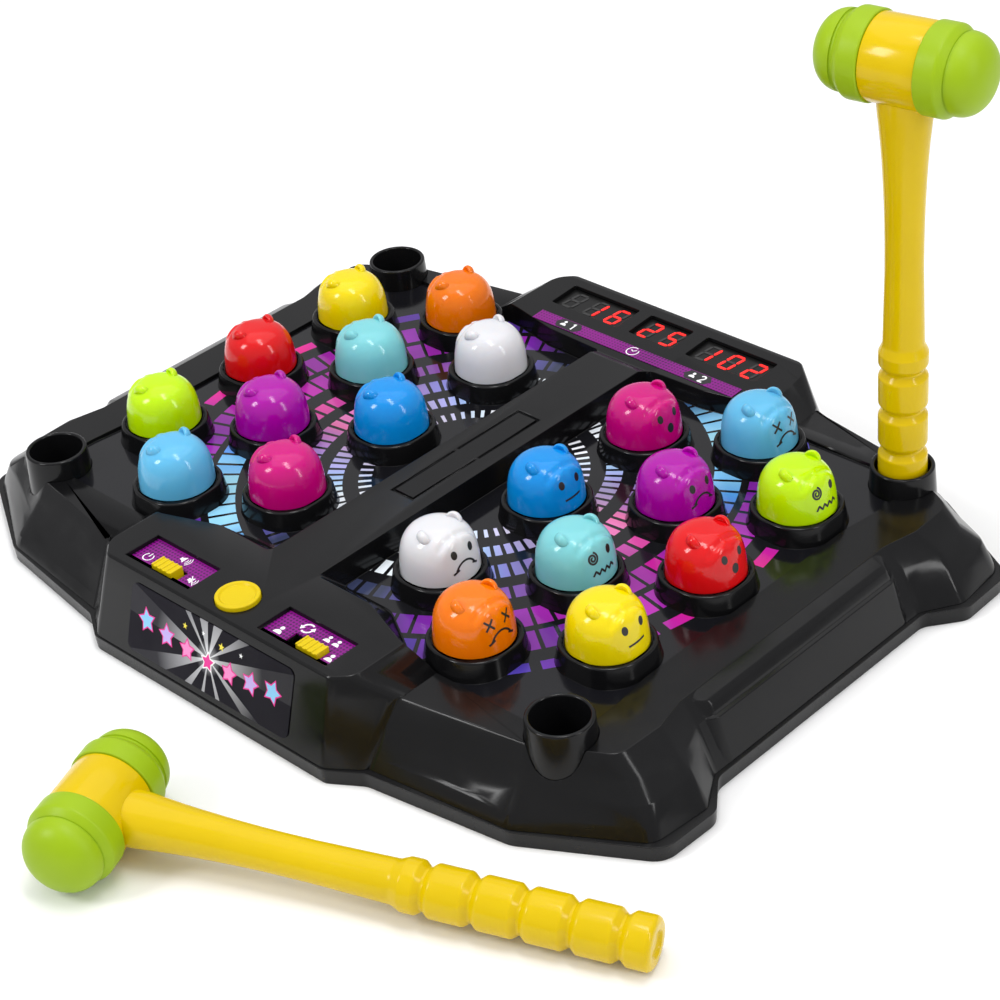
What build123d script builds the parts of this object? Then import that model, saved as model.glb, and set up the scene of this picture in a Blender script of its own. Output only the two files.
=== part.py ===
from build123d import *
import math
import os

# All sizes are in millimetres. Z points up and z = 0 is the flat underside of the board.
# The origin is the middle of that underside. The first player stands at -X and the second
# at +X, the control panel is on the -Y side and the score display on the +Y side.

# Whole board
board_length = 456.0
board_width = 349.0
half_length = board_length / 2
half_width = board_width / 2
tray_height = 8.0
top_height = 48.8
rim_drop = 10.8
playfield_drop = 12.8
housing_wall = 2.2
tray_floor = 2.5
edge_round = 0.9
cut_overrun = 1.0
running_gap = 0.3
fit_gap = 0.1
slip_gap = 0.05
mirror_signs = (-1, 1)

# Outline of the tray for a quarter of the board, from the control panel's corner round the
# hammer corner to the notch in the player's side, as shares of the half length and half width
tray_corner_shares = [
    (0.345, 1.0), (0.416, 0.943), (0.743, 0.879), (0.996, 0.693), (1.0, 0.51), (0.942, 0.413),
]
tray_corner_radii = [6.0, 9.0, 16.0, 12.0, 9.0, 9.0]
tray_draft = 0.6

# Outlines of the housing's wall for the same quarter, at five heights from the seam up to the rim,
# and the heights of the middle three as shares of the way from the seam to the rim
seam_shares = [(0.422, 0.925), (0.7386, 0.874), (0.9724, 0.6946), (0.9846, 0.516), (0.9338, 0.4126)]
toe_shares = [(0.4246, 0.907), (0.7346, 0.858), (0.9636, 0.689), (0.9715, 0.516), (0.9224, 0.4115)]
shoulder_shares = [(0.4285, 0.877), (0.7272, 0.811), (0.9474, 0.68), (0.9487, 0.518), (0.9039, 0.4115)]
bead_shares = [(0.432, 0.854), (0.7228, 0.785), (0.9035, 0.656), (0.9232, 0.5244), (0.8904, 0.407)]
rim_shares = [(0.4364, 0.8223), (0.7171, 0.7576), (0.8711, 0.6533), (0.8754, 0.5072), (0.8566, 0.4011)]
wall_corner_radii = [9.0, 14.0, 10.0, 7.0, 7.0]
wall_height_shares = [0.1833, 0.48, 0.7]

# Control panel block in front, repeated behind as the display block
panel_foot_shares = [(0.3417, 0.9954), (0.422, 0.925)]
panel_waist_shares = [(0.3351, 0.9433), (0.4355, 0.8252)]
panel_top_shares = [(0.3325, 0.9244), (0.37, 0.88)]
panel_corner_radii = [6.0, 12.0, 3.0]
panel_back_y = 95.0

# Sunk playing fields: outline of the right floor and of its mouth at the top, anticlockwise from
# the corner by the divider and the control panel, as shares of the half length and half width
divider_half_width = 16.3
field_floor_shares = [
    (0.0781, -0.5765), (0.2149, -0.5765), (0.3452, -0.6762), (0.4298, -0.6905),
    (0.693, -0.6905), (0.7649, -0.6189), (0.7649, -0.5272), (0.7535, -0.4011),
    (0.7535, 0.4011), (0.7649, 0.5272), (0.7649, 0.6189), (0.693, 0.6905),
    (0.4298, 0.6905), (0.3452, 0.682), (0.2281, 0.6504), (0.0781, 0.6436),
]
field_mouth_shares = [
    (0.0715, -0.6476), (0.2211, -0.6476), (0.361, -0.7123), (0.436, -0.7106),
    (0.6974, -0.7026), (0.7732, -0.6246), (0.7732, -0.5312), (0.7614, -0.4052),
    (0.7614, 0.4052), (0.7732, 0.5312), (0.7732, 0.6246), (0.6974, 0.7026),
    (0.436, 0.7026), (0.3509, 0.6877), (0.2303, 0.6567), (0.0715, 0.6493),
]
field_corner_radii = [
    3.0, 18.0, 18.0, 20.0, 10.0, 8.0, 20.0, 30.0, 30.0, 20.0, 8.0, 10.0, 20.0, 20.0, 20.0, 3.0,
]
divider_groove_half_width = 7.7
divider_groove_half_length = 43.9
divider_groove_width = 1.7
divider_groove_depth = 1.2
divider_groove_break = 1.6

# Moles: places of the ten moles of a field as shares of the half length and half width
mole_place_shares = [
    (0.2265, -0.4011), (0.2294, 0.0), (0.2265, 0.4011),
    (0.4404, -0.5599), (0.4478, -0.1948), (0.4478, 0.1948), (0.4404, 0.5599),
    (0.6526, -0.3736), (0.6544, 0.0), (0.6526, 0.3736),
]
mole_radius = 18.5
mole_height = 22.4
mole_wall = 1.8
mole_dome_shares = [(1.0, 0.0), (0.965, 0.72), (0.66, 0.955), (0.0, 1.0)]
mole_dome_radii = [9.0, 11.0]
mole_ear_foot_radius = 4.6
mole_ear_tip_radius = 1.7
mole_ear_length = 3.5
mole_ear_spread = 8.0
mole_ear_sink = 2.6
mole_ear_lean = 14.0
mole_face_flat = 1.0
mole_face_low = 2.0
mole_face_high = 14.5
mole_flange_width = 2.1
mole_flange_height = 1.7
mole_web_width = 3.0
mole_web_height = 6.0
mole_post_radius = 2.6
mole_post_drop = 5.6

# Raised collars round the moles: rounded squares
collar_height = 10.0
collar_lip_half = 20.3
collar_foot_half = 21.9
collar_lip_corner = 17.2
collar_foot_corner = 18.2

# Hammer cups at the four corners
cup_place_share_x = 0.743
cup_place_share_y = 0.6756
cup_top_drop = 0.8
cup_radius = 15.05
cup_foot_radius = 16.6
cup_foot_height = 24.0
cup_bore_radius = 13.0
cup_tail_radius = 14.7
cup_socket_wall = 2.0
cup_socket_drop = 4.0

# Printed playfield film
film_thickness = 0.3
film_margin = 0.8

# Circuit boards under the moles, their posts, and what is on them
board_thickness = 1.6
field_board_drop = 15.2
field_board_inner_x = 27.0
field_board_outer_share = 0.7632
field_board_half_y_share = 0.6418
field_board_cup_gap = 1.0
field_board_inset = 5.0
field_board_post_y = 88.0
board_post_radius = 3.2
board_screw_radius = 1.0
board_screw_length = 6.0
board_screw_head_radius = 2.0
board_screw_head_height = 1.3
dome_foot_radius = 5.5
dome_top_radius = 3.0
lamp_offset = 9.0
lamp_radius = 2.5
lamp_height = 5.0

# Housing columns and their screws
column_radius = 4.2
column_joint_height = 12.0
column_place_shares = [(0.807, 0.275), (0.561, 0.739), (0.0, 0.53), (0.36, 0.86)]
screw_radius = 1.5
screw_length = 14.0
screw_head_radius = 2.9
screw_head_height = 1.8
screw_pocket_radius = 3.3
screw_pocket_depth = 6.0
screw_pocket_wall = 1.6

# Feet
foot_radius = 7.0
foot_depth = 1.4
foot_place_shares = [(0.88, 0.62), (0.28, 0.88)]

# Battery bay in the tray
bay_y = 51.0
cell_radius = 7.25
cell_length = 49.5
cell_pitch = 15.0
cell_count = 3
cell_cap_radius = 2.75
cell_cap_length = 1.0
contact_size = 9.0
contact_thickness = 0.5
contact_spring_radius = 4.0
contact_spring_length = 3.4
bay_wall = 1.8
bay_pad_height = 4.2
door_thickness = 2.0
door_margin = 5.0
door_tongue_width = 10.0
door_tongue_length = 3.0
door_tongue_height = 0.9
door_screw_inset = 2.6

# Speaker in the tray
speaker_y = -62.0
speaker_radius = 25.0
speaker_rim_height = 3.0
speaker_magnet_radius = 14.0
speaker_magnet_height = 6.0
speaker_height = 13.0
speaker_ring_wall = 1.5
speaker_ring_height = 4.0
grille_slot_width = 2.4
grille_slot_pitch = 6.0
grille_slot_count = 7
grille_radius = 19.0

# Control panel furniture
plate_x = 45.8
plate_y = -146.2
plate_length = 44.5
plate_width = 19.6
plate_sink = 2.4
plate_thickness = 0.8
pan_floor = 1.8
pan_wall = 2.0
knob_y = -150.1
knob_length = 13.6
knob_width = 7.6
knob_rise = 2.9
knob_ridge_count = 5
knob_ridge_width = 1.2
knob_ridge_height = 0.5
knob_shoe_thickness = 1.2
knob_shoe_margin = 1.6
knob_lever_width = 2.2
knob_lever_reach = 1.8
knob_play = 0.4
sound_knob_x = -45.2
sound_travel = 2.6
mode_knob_x = 52.9
mode_travel = 7.8
switch_length = 20.0
switch_width = 6.4
switch_height = 4.4
switch_slot_depth = 2.4
control_board_drop = 13.2
control_board_half_length = 76.0
control_board_width = 26.0
control_post_radius = 2.8
control_post_places = [(17.0, 7.0), (73.0, 0.0)]
button_y = -146.5
button_radius = 10.5
button_rise = 2.0
button_dish_depth = 0.9
button_rim_width = 1.6
button_flange_width = 1.6
button_flange_height = 1.4
button_stem_radius = 3.0
button_stem_drop = 4.6

# Label on the sloping front of the control panel
label_half_length = 55.0
label_low_margin = 3.4
label_high_margin = 5.2
label_thickness = 0.4
label_corner = 4.0

# Score display: windows in the tilted top of the rear block
divider_end_y = 106.0
display_front_y = 112.0
display_front_drop = 2.6
display_back_y = 158.0
window_y = 143.5
window_width = 18.6
window_spans = [(-69.0, -23.5), (-15.5, 13.0), (22.5, 67.5)]
window_corner = 1.0
module_margin = 1.4
module_height = 6.5
digit_pitch = 14.6
digit_slant = 9.0
segment_length = 6.3
segment_width = 1.5
segment_height = 0.25
segment_join = 0.25
shown_digits = ["816", "25", "102"]
first_digit_dark = [True, False, False]
lit_segments = {"0": "abcdef", "1": "bc", "2": "abdeg", "5": "acdfg", "6": "acdefg", "8": "abcdefg"}
display_board_width = 25.0
display_board_half_length = 76.0
display_post_radius = 2.2
display_post_x = [-73.0, -19.5, 17.75, 73.0]
stripe_y = 121.2
stripe_width = 8.0
stripe_half_length = 67.0
stripe_thickness = 0.3

# Hammers
hammer_length = 248.0
barrel_radius = 19.5
barrel_half_length = 13.2
spigot_radius = 14.0
spigot_length = 10.0
cap_radius = 20.4
cap_band_length = 13.0
cap_groove_radius = 17.0
cap_groove_width = 1.2
cap_dome_radius = 17.9
cap_dome_length = 13.6
cap_end_shares = [(1.0, 0.0), (0.985, 0.32), (0.8, 0.7), (0.42, 0.94), (0.0, 1.0)]
grip_radius = 11.5
grip_end_round = 2.5
grip_groove_radius = 9.3
grip_groove_half = 0.9
grip_shoulder = 1.7
grip_pitch = 20.9
grip_end_length = 13.4
grip_groove_count = 5
neck_bead_length = 13.5
neck_radius = 9.6
neck_slope = 4.0
waist_radius = 8.8
waist_distance = 100.0
flare_distances = [50.0, 30.0, 16.0]
flare_half_lengths = [9.8, 11.6, 12.8]
flare_half_widths = [9.8, 10.4, 11.6]
standing_hammer_turn = 8.0
lying_hammer_x = 34.0
lying_hammer_y = -260.5
lying_hammer_turn = 22.2

# Heights and sizes that follow from those above
rim_height = top_height - rim_drop
playfield_height = top_height - playfield_drop
under_playfield = playfield_height - housing_wall
under_top = top_height - housing_wall
collar_lip_height = playfield_height + collar_height
collar_bore_radius = mole_radius + running_gap
flange_top = under_playfield - running_gap
flange_bottom = flange_top - mole_flange_height
mole_flange_radius = mole_radius + mole_flange_width
post_bottom = flange_bottom - mole_post_drop
cup_x = half_length * cup_place_share_x
cup_y = half_width * cup_place_share_y
cup_height = top_height - cup_top_drop
field_board_top = under_playfield - field_board_drop
field_board_height = field_board_top - board_thickness
field_board_outer_x = half_length * field_board_outer_share
field_board_half_y = half_width * field_board_half_y_share
control_board_top = top_height - control_board_drop
control_board_height = control_board_top - board_thickness
label_low_height = tray_height + label_low_margin
label_high_height = top_height - label_high_margin
display_front_height = top_height - display_front_drop
plate_top = top_height - plate_sink
plate_bottom = plate_top - plate_thickness
pan_bottom = plate_bottom - pan_floor
knob_top = plate_top + knob_rise
shoe_top = pan_bottom - slip_gap
shoe_bottom = shoe_top - knob_shoe_thickness
switch_top = control_board_top + switch_height
button_flange_top = under_top - running_gap
button_flange_bottom = button_flange_top - button_flange_height
button_stem_bottom = button_flange_bottom - button_stem_drop
button_top = top_height + button_rise
display_slope = (top_height - display_front_height) / (display_back_y - display_front_y)
display_tilt = math.degrees(math.atan(display_slope))
bay_half_width = cell_pitch * cell_count / 2
bay_length = 2 * contact_thickness + cell_length + cell_cap_length + contact_spring_length
cell_axis_height = door_thickness + running_gap + cell_radius
bay_room_top = cell_axis_height + cell_radius + running_gap
door_length = bay_length + 2 * door_margin
door_width = 2 * bay_half_width + 2 * door_margin
tray_post_radius = screw_pocket_radius + screw_pocket_wall

os.makedirs("parts", exist_ok=True)


def front_right(shares):
    """Corners of the front right quarter of the board from their shares."""
    return [(half_length * x, -half_width * y) for x, y in shares]


def placed(shares):
    """Points of an outline from their shares of the half length and half width."""
    return [(half_length * x, half_width * y) for x, y in shares]


def all_round(quarter):
    """The whole outline, anticlockwise, from its front right quarter."""
    rear_right = [(x, -y) for x, y in reversed(quarter)]
    rear_left = [(-x, -y) for x, y in quarter]
    front_left = [(-x, y) for x, y in reversed(quarter)]
    return quarter + rear_right + rear_left + front_left


def moved_in(corners, distance):
    """The corners of an anticlockwise outline with every side moved inwards."""
    moved = []
    count = len(corners)
    for index in range(count):
        here = Vector(*corners[index])
        before = (here - Vector(*corners[index - 1])).normalized()
        after = (Vector(*corners[(index + 1) % count]) - here).normalized()
        normal_before = Vector(-before.Y, before.X)
        normal_after = Vector(-after.Y, after.X)
        share = distance / (1 + normal_before.dot(normal_after))
        spot = here + (normal_before + normal_after) * share
        moved.append((spot.X, spot.Y))
    return moved


def ring(corners, radii, height):
    """A closed rounded outline at one height."""
    return FilletPolyline(*[(x, y, height) for x, y in corners], radius=radii, close=True)


def stacked(rings):
    """A solid with straight walls between rounded outlines."""
    return Solid.make_loft([outline.wire() for outline in rings], ruled=True)


def four_times(radii):
    """Corner radii of the whole outline from those of a quarter."""
    return list(radii) + list(reversed(radii)) + list(radii) + list(reversed(radii))


def inner_radii(radii, wall):
    """Corner radii inside a wall."""
    return [max(radius - wall, edge_round) for radius in radii]


def upright(radius, low, high, x=0.0, y=0.0):
    """A vertical round bar between two heights."""
    return Pos(x, y, low) * Cylinder(radius, high - low, align=(Align.CENTER, Align.CENTER, Align.MIN))


def block(length, width, low, high, x=0.0, y=0.0):
    """A block between two heights, centred on a place."""
    return Pos(x, y, low) * Box(length, width, high - low, align=(Align.CENTER, Align.CENTER, Align.MIN))


def turned(points):
    """A solid turned about Z from a closed profile of (radius, height) points."""
    profile = make_face(Polyline(*[(radius, 0, height) for radius, height in points], close=True))
    return revolve(profile, Axis.Z)


def corner_places(shares):
    """The mirrored places for each share of a quarter, without repeats."""
    places = []
    for share_x, share_y in shares:
        for side in mirror_signs:
            for end in mirror_signs:
                place = (side * share_x * half_length, end * share_y * half_width)
                if place not in places:
                    places.append(place)
    return places


def save(solid, name):
    """Writes one sub-part."""
    solid.label = name
    export_step(solid, f"parts/{name}.step")


def rounded_square(half, corner, height, x, y):
    """A closed rounded square at one height."""
    corners = [(x - half, y - half), (x + half, y - half), (x + half, y + half), (x - half, y + half)]
    return ring(corners, [corner] * len(corners), height)


def mole_places(side):
    """Places of the ten moles on one side of the divider."""
    return [(side * x * half_length, y * half_width) for x, y in mole_place_shares]


def cup_places():
    """Names and places of the four hammer cups."""
    return {
        "front_left": (-cup_x, -cup_y),
        "front_right": (cup_x, -cup_y),
        "rear_left": (-cup_x, cup_y),
        "rear_right": (cup_x, cup_y),
    }


def cup_radius_at(height):
    """Outer radius of a cup's tapered wall at a height."""
    share = (cup_height - height) / (cup_height - cup_foot_height)
    return cup_radius + (cup_foot_radius - cup_radius) * share


def display_plane(y, height_above=0.0):
    """A plane on the tilted display top, at a place along Y."""
    height = display_front_height + (y - display_front_y) * display_slope
    tilt = math.radians(display_tilt)
    normal = Vector(0, -math.sin(tilt), math.cos(tilt))
    return Plane(origin=Vector(0, y, height) + normal * height_above, x_dir=(1, 0, 0), z_dir=normal)


def panel_front_point(height):
    """The point of the control panel's sloping front at a height, over the middle of the board."""
    levels = [(tray_height, panel_foot_shares), (rim_height, panel_waist_shares),
              (top_height - edge_round, panel_top_shares)]
    pair = levels[:2] if height < rim_height else levels[1:]
    (low, low_shares), (high, high_shares) = pair
    part = (height - low) / (high - low)
    share = low_shares[0][1] + (high_shares[0][1] - low_shares[0][1]) * part
    return Vector(0, -half_width * share, height)


def label_plane():
    """A plane against the control panel's front, clear of the line where the front bends."""
    low = panel_front_point(label_low_height)
    high = panel_front_point(label_high_height)
    slope = (high - low).normalized()
    normal = Vector(0, -slope.Z, slope.Y)
    bend = panel_front_point(min(max(rim_height, label_low_height), label_high_height))
    proud = max(0.0, (bend - low).dot(normal))
    return Plane(origin=(low + high) / 2 + normal * proud, x_dir=(1, 0, 0), z_dir=normal)


# Top moulding


def housing_body(wall, low):
    """The board's upper body without its fields, or the room inside its wall, from a low height."""
    high = rim_height - wall
    middle = [tray_height + (rim_height - tray_height) * share for share in wall_height_shares]
    heights = [low, *middle, high - edge_round, high]
    tables = [seam_shares, toe_shares, shoulder_shares, bead_shares, rim_shares, rim_shares]
    insets = [wall] * (len(tables) - 1) + [wall + edge_round]
    radii = four_times(inner_radii(wall_corner_radii, wall))
    rings = []
    for height, table, inset in zip(heights, tables, insets):
        rings.append(ring(moved_in(all_round(front_right(table)), inset), radii, height))
    return stacked(rings)


def panel_outline(shares, inset):
    """Corners of the control panel's block at one height."""
    front = front_right(shares)
    right = front + [(front[-1][0], -panel_back_y)]
    left = [(-x, y) for x, y in reversed(right)]
    return moved_in(left + right, inset)


def panel_radii(wall):
    """Corner radii of the control panel's block."""
    radii = inner_radii(panel_corner_radii, wall)
    return list(reversed(radii)) + radii


def panel_block(wall, low, turn):
    """The control panel's block, or the room inside its wall; turned half round for the display."""
    heights = [low, rim_height, top_height - wall - edge_round, top_height - wall]
    tables = [panel_foot_shares, panel_waist_shares, panel_top_shares, panel_top_shares]
    insets = [wall, wall, wall, wall + edge_round]
    rings = []
    for height, table, inset in zip(heights, tables, insets):
        rings.append(ring(panel_outline(table, inset), panel_radii(wall), height))
    return Rot(0, 0, turn) * stacked(rings)


def field_cavity(side, grow, low):
    """The space above one playing field from a low height up, grown outwards by a wall where asked."""
    floor = moved_in(placed(field_floor_shares), -grow)
    mouth = moved_in(placed(field_mouth_shares), -grow)
    radii = [radius + grow for radius in field_corner_radii]
    rings = [ring(floor, radii, low), ring(mouth, radii, top_height)]
    cavity = stacked(rings + [ring(mouth, radii, top_height + cut_overrun)])
    return cavity if side > 0 else mirror(cavity, about=Plane.YZ)


def above_display(drop):
    """What is cut off the rear block above its tilted top."""
    high = top_height + housing_wall
    back_y = half_width
    points = [
        (divider_end_y, high - drop + cut_overrun),
        (divider_end_y, top_height - drop),
        (display_front_y, display_front_height - drop),
        (back_y, display_front_height - drop + (back_y - display_front_y) * display_slope),
        (back_y, high - drop + cut_overrun),
    ]
    side = make_face(Polyline(*[(-half_length, y, z) for y, z in points], close=True))
    return extrude(side, amount=board_length, dir=(1, 0, 0))


def collar(x, y):
    """One raised collar as a solid."""
    lip_edge = collar_lip_half - edge_round
    return stacked([
        rounded_square(collar_foot_half, collar_foot_corner, under_playfield, x, y),
        rounded_square(collar_foot_half, collar_foot_corner, playfield_height, x, y),
        rounded_square(collar_lip_half, collar_lip_corner, collar_lip_height - edge_round, x, y),
        rounded_square(lip_edge, collar_lip_corner - edge_round, collar_lip_height, x, y),
    ])


def divider_groove():
    """The groove cut in the divider's top: a rectangle whose long sides are broken halfway."""
    low = top_height - divider_groove_depth
    high = top_height + cut_overrun
    outer = block(2 * divider_groove_half_width, 2 * divider_groove_half_length, low, high)
    inner_width = 2 * (divider_groove_half_width - divider_groove_width)
    inner_length = 2 * (divider_groove_half_length - divider_groove_width)
    groove = outer - block(inner_width, inner_length, low, high)
    return groove - block(2 * divider_groove_half_width, divider_groove_break, low, high)


def display_post(x):
    """A post from the rear block's roof down to the display board, in the roof's tilt."""
    length = module_height + fit_gap
    whole_length = length + housing_wall
    post = Cylinder(display_post_radius, whole_length, align=(Align.CENTER, Align.CENTER, Align.MIN))
    return display_plane(window_y, -housing_wall - length).location * Pos(x, 0, 0) * post


def control_posts():
    """Places of the posts that carry the control board."""
    places = []
    for x, y in control_post_places:
        places += [(side * x, button_y + y) for side in mirror_signs]
    return places


def make_upper_housing():
    """The black top moulding: skirt, rim, two sunk fields with collars, panel and display blocks."""
    centre_outer = 2 * (divider_half_width + housing_wall)
    centre_inner = 2 * (divider_half_width - housing_wall)
    centre_length = 2 * (panel_back_y + housing_wall)
    all_moles = mole_places(-1) + mole_places(1)

    skin = housing_body(0.0, tray_height)
    skin += [panel_block(0.0, tray_height, turn) for turn in (0, 180)]
    skin += block(centre_outer, centre_length, tray_height, top_height)
    skin -= above_display(0.0)
    skin -= [field_cavity(side, 0.0, playfield_height) for side in mirror_signs]
    skin += [collar(x, y) for x, y in all_moles]
    skin -= divider_groove()

    low = tray_height - cut_overrun
    room = housing_body(housing_wall, low)
    room += [panel_block(housing_wall, low, turn) for turn in (0, 180)]
    room += block(centre_inner, centre_length, low, under_top)
    room -= above_display(housing_wall)
    room -= [field_cavity(side, housing_wall, under_playfield) for side in mirror_signs]

    columns = corner_places(column_place_shares)
    bosses = [upright(column_radius, column_joint_height, top_height, x, y) for x, y in columns]
    socket_radius = cup_foot_radius + fit_gap + cup_socket_wall
    socket_low = cup_foot_height - cup_socket_drop
    bosses += [upright(socket_radius, socket_low, top_height, x, y) for x, y in cup_places().values()]
    pan_length = plate_length + 2 * (fit_gap + pan_wall)
    pan_width = plate_width + 2 * (fit_gap + pan_wall)
    for side in mirror_signs:
        bosses.append(block(pan_length, pan_width, pan_bottom, top_height, side * plate_x, plate_y))
    bosses += [upright(control_post_radius, control_board_top, top_height, x, y) for x, y in control_posts()]
    bosses += [display_post(x) for x in display_post_x]
    room -= bosses
    shell = skin - room

    cuts = [upright(collar_bore_radius, flange_bottom, top_height, x, y) for x, y in all_moles]
    for x, y in cup_places().values():
        cuts.append(Pos(x, y, 0) * turned([
            (0, cup_foot_height),
            (cup_foot_radius + fit_gap, cup_foot_height),
            (cup_radius + fit_gap, cup_height),
            (cup_radius + fit_gap, top_height + cut_overrun),
            (0, top_height + cut_overrun),
        ]))
        cuts.append(upright(cup_tail_radius + fit_gap, socket_low - cut_overrun, cup_foot_height, x, y))
    for x, y in corner_places(column_place_shares):
        low_end = column_joint_height - cut_overrun
        cuts.append(upright(screw_radius + slip_gap, low_end, screw_tip_height(), x, y))
    for side in mirror_signs:
        pocket_length = plate_length + 2 * fit_gap
        pocket_width = plate_width + 2 * fit_gap
        pocket_top = top_height + cut_overrun
        cuts.append(block(pocket_length, pocket_width, plate_bottom, pocket_top, side * plate_x, plate_y))
    cuts += [knob_slot(*knob) for knob in knobs().values()]
    hole_radius = button_radius + running_gap
    cuts.append(upright(hole_radius, under_top - cut_overrun, top_height + cut_overrun, 0, button_y))
    for x, y in control_posts():
        cuts.append(upright(board_screw_radius + slip_gap, control_board_top - cut_overrun,
                            control_board_height + board_screw_length + cut_overrun, x, y))
    for x in display_post_x:
        pilot = Cylinder(board_screw_radius + slip_gap, board_screw_length + cut_overrun,
                         align=(Align.CENTER, Align.CENTER, Align.MIN))
        cuts.append(display_board_under().location * Pos(x, 0, 0) * pilot)
    for low_x, high_x in window_spans:
        window = RectangleRounded(high_x - low_x, window_width, window_corner)
        window = Pos((low_x + high_x) / 2, 0, 0) * window
        depth = housing_wall + 2 * cut_overrun
        opening = extrude(window, amount=depth)
        cuts.append(display_plane(window_y, -housing_wall - cut_overrun).location * opening)
    return shell - cuts


def screw_tip_height():
    """Height of the tip of a housing screw."""
    return screw_pocket_depth + screw_length


def display_board_under():
    """Plane of the display board's underside."""
    return display_plane(window_y, -housing_wall - fit_gap - module_height - board_thickness)


def knobs():
    """Rest place and lowest and highest travel of the two slide knobs."""
    return {
        "sound_knob": (sound_knob_x, -sound_travel, sound_travel),
        "mode_knob": (mode_knob_x, -mode_travel, 0.0),
    }


def travel_block(place, length, width, low, high):
    """A block round a slide knob's piece that leaves room for its whole travel."""
    x, least, most = place
    return block(length + most - least, width, low, high, x + (least + most) / 2, knob_y)


def knob_slot(x, least, most):
    """The slot that a slide knob runs in."""
    length = knob_length + 2 * knob_play
    width = knob_width + 2 * knob_play
    return travel_block((x, least, most), length, width, pan_bottom - cut_overrun, plate_top + cut_overrun)


# Bottom tray and what it carries


def battery_bay_room():
    """The room for the cells, open at the bottom."""
    return block(2 * bay_half_width, bay_length, -cut_overrun, bay_room_top, 0, bay_y)


def door_screw_place():
    """Place of the battery door's screw."""
    return (0.0, bay_y + bay_length / 2 + door_screw_inset)


def field_board_posts():
    """Places of the posts under the two field boards."""
    places = []
    for side in mirror_signs:
        for x in (field_board_inner_x + field_board_inset, field_board_outer_x - field_board_inset):
            places += [(side * x, end * field_board_post_y) for end in mirror_signs]
    return places


def make_lower_housing():
    """The black tray: floor, rim, screw posts, board posts, battery bay and speaker grille."""
    corners = all_round(front_right(tray_corner_shares))
    radii = four_times(tray_corner_radii)
    tray = stacked([ring(moved_in(corners, tray_draft), radii, 0.0), ring(corners, radii, tray_height)])
    seam = moved_in(all_round(front_right(seam_shares)), housing_wall)
    seam_radii = four_times(inner_radii(wall_corner_radii, housing_wall))
    high = tray_height + cut_overrun
    room = stacked([ring(seam, seam_radii, tray_floor), ring(seam, seam_radii, high)])
    foot = panel_outline(panel_foot_shares, housing_wall)
    panel_room = stacked([
        ring(foot, panel_radii(housing_wall), tray_floor),
        ring(foot, panel_radii(housing_wall), high),
    ])
    tray -= [room, panel_room, Rot(0, 0, 180) * panel_room]

    columns = corner_places(column_place_shares)
    added = [upright(tray_post_radius, 0, column_joint_height, x, y) for x, y in columns]
    added += [upright(board_post_radius, 0, field_board_height, x, y) for x, y in field_board_posts()]
    pad_margin = door_margin + bay_wall
    pad_width = 2 * (bay_half_width + pad_margin)
    added.append(block(pad_width, bay_length + 2 * pad_margin, 0, bay_pad_height, 0, bay_y))
    bay_outer_width = 2 * (bay_half_width + bay_wall)
    added.append(block(bay_outer_width, bay_length + 2 * bay_wall, 0, bay_room_top + bay_wall, 0, bay_y))
    ring_inner = speaker_radius + fit_gap
    ring_top = tray_floor + speaker_ring_height
    speaker_ring = upright(ring_inner + speaker_ring_wall, 0, ring_top, 0, speaker_y)
    speaker_ring -= upright(ring_inner, tray_floor, ring_top, 0, speaker_y)
    added.append(speaker_ring)
    tray += added

    cuts = [battery_bay_room()]
    seat_width = door_width + 2 * fit_gap
    cuts.append(block(seat_width, door_length + 2 * fit_gap, -cut_overrun, door_thickness, 0, bay_y))
    tongue_y = bay_y - door_length / 2 - door_tongue_length / 2
    tongue_low = door_thickness - door_tongue_height
    cuts.append(block(door_tongue_width + 2 * fit_gap, door_tongue_length + 2 * fit_gap,
                      tongue_low - slip_gap, door_thickness, 0, tongue_y))
    screw_x, screw_y = door_screw_place()
    cuts.append(upright(board_screw_radius + slip_gap, door_thickness - cut_overrun,
                        board_screw_length + cut_overrun, screw_x, screw_y))
    for x, y in corner_places(column_place_shares):
        cuts.append(upright(screw_pocket_radius, -cut_overrun, screw_pocket_depth, x, y))
        high_end = column_joint_height + cut_overrun
        cuts.append(upright(screw_radius + slip_gap, screw_pocket_depth, high_end, x, y))
    for x, y in field_board_posts():
        low = field_board_top - board_screw_length - cut_overrun
        cuts.append(upright(board_screw_radius + slip_gap, low, field_board_height + cut_overrun, x, y))
    for x, y in corner_places(foot_place_shares):
        cuts.append(upright(foot_radius + fit_gap, -cut_overrun, foot_depth, x, y))
    middle = (grille_slot_count - 1) / 2
    for index in range(grille_slot_count):
        offset = (index - middle) * grille_slot_pitch
        length = 2 * math.sqrt(grille_radius ** 2 - offset ** 2)
        slot = Pos(offset, speaker_y, -cut_overrun) * Rot(0, 0, 90) * SlotOverall(length, grille_slot_width)
        cuts.append(extrude(slot, amount=tray_floor + 2 * cut_overrun, dir=(0, 0, 1)))
    return tray - cuts


def make_battery_door():
    """The screwed door over the cells, with a tongue at one end."""
    door = block(door_width, door_length, 0, door_thickness, 0, bay_y)
    tongue_y = bay_y - door_length / 2 - door_tongue_length / 2
    tongue = block(door_tongue_width, door_tongue_length + cut_overrun, door_thickness - door_tongue_height,
                   door_thickness, 0, tongue_y + cut_overrun / 2)
    screw_x, screw_y = door_screw_place()
    room_radius = board_screw_head_radius + fit_gap
    head_room = upright(room_radius, -cut_overrun, board_screw_head_height, screw_x, screw_y)
    hole = upright(board_screw_radius + slip_gap, 0, door_thickness + cut_overrun, screw_x, screw_y)
    return door + tongue - head_room - hole


def cell_places():
    """Place across the bay and direction of each cell."""
    middle = (cell_count - 1) / 2
    return [((index - middle) * cell_pitch, 1 if index % 2 == 0 else -1) for index in range(cell_count)]


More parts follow.
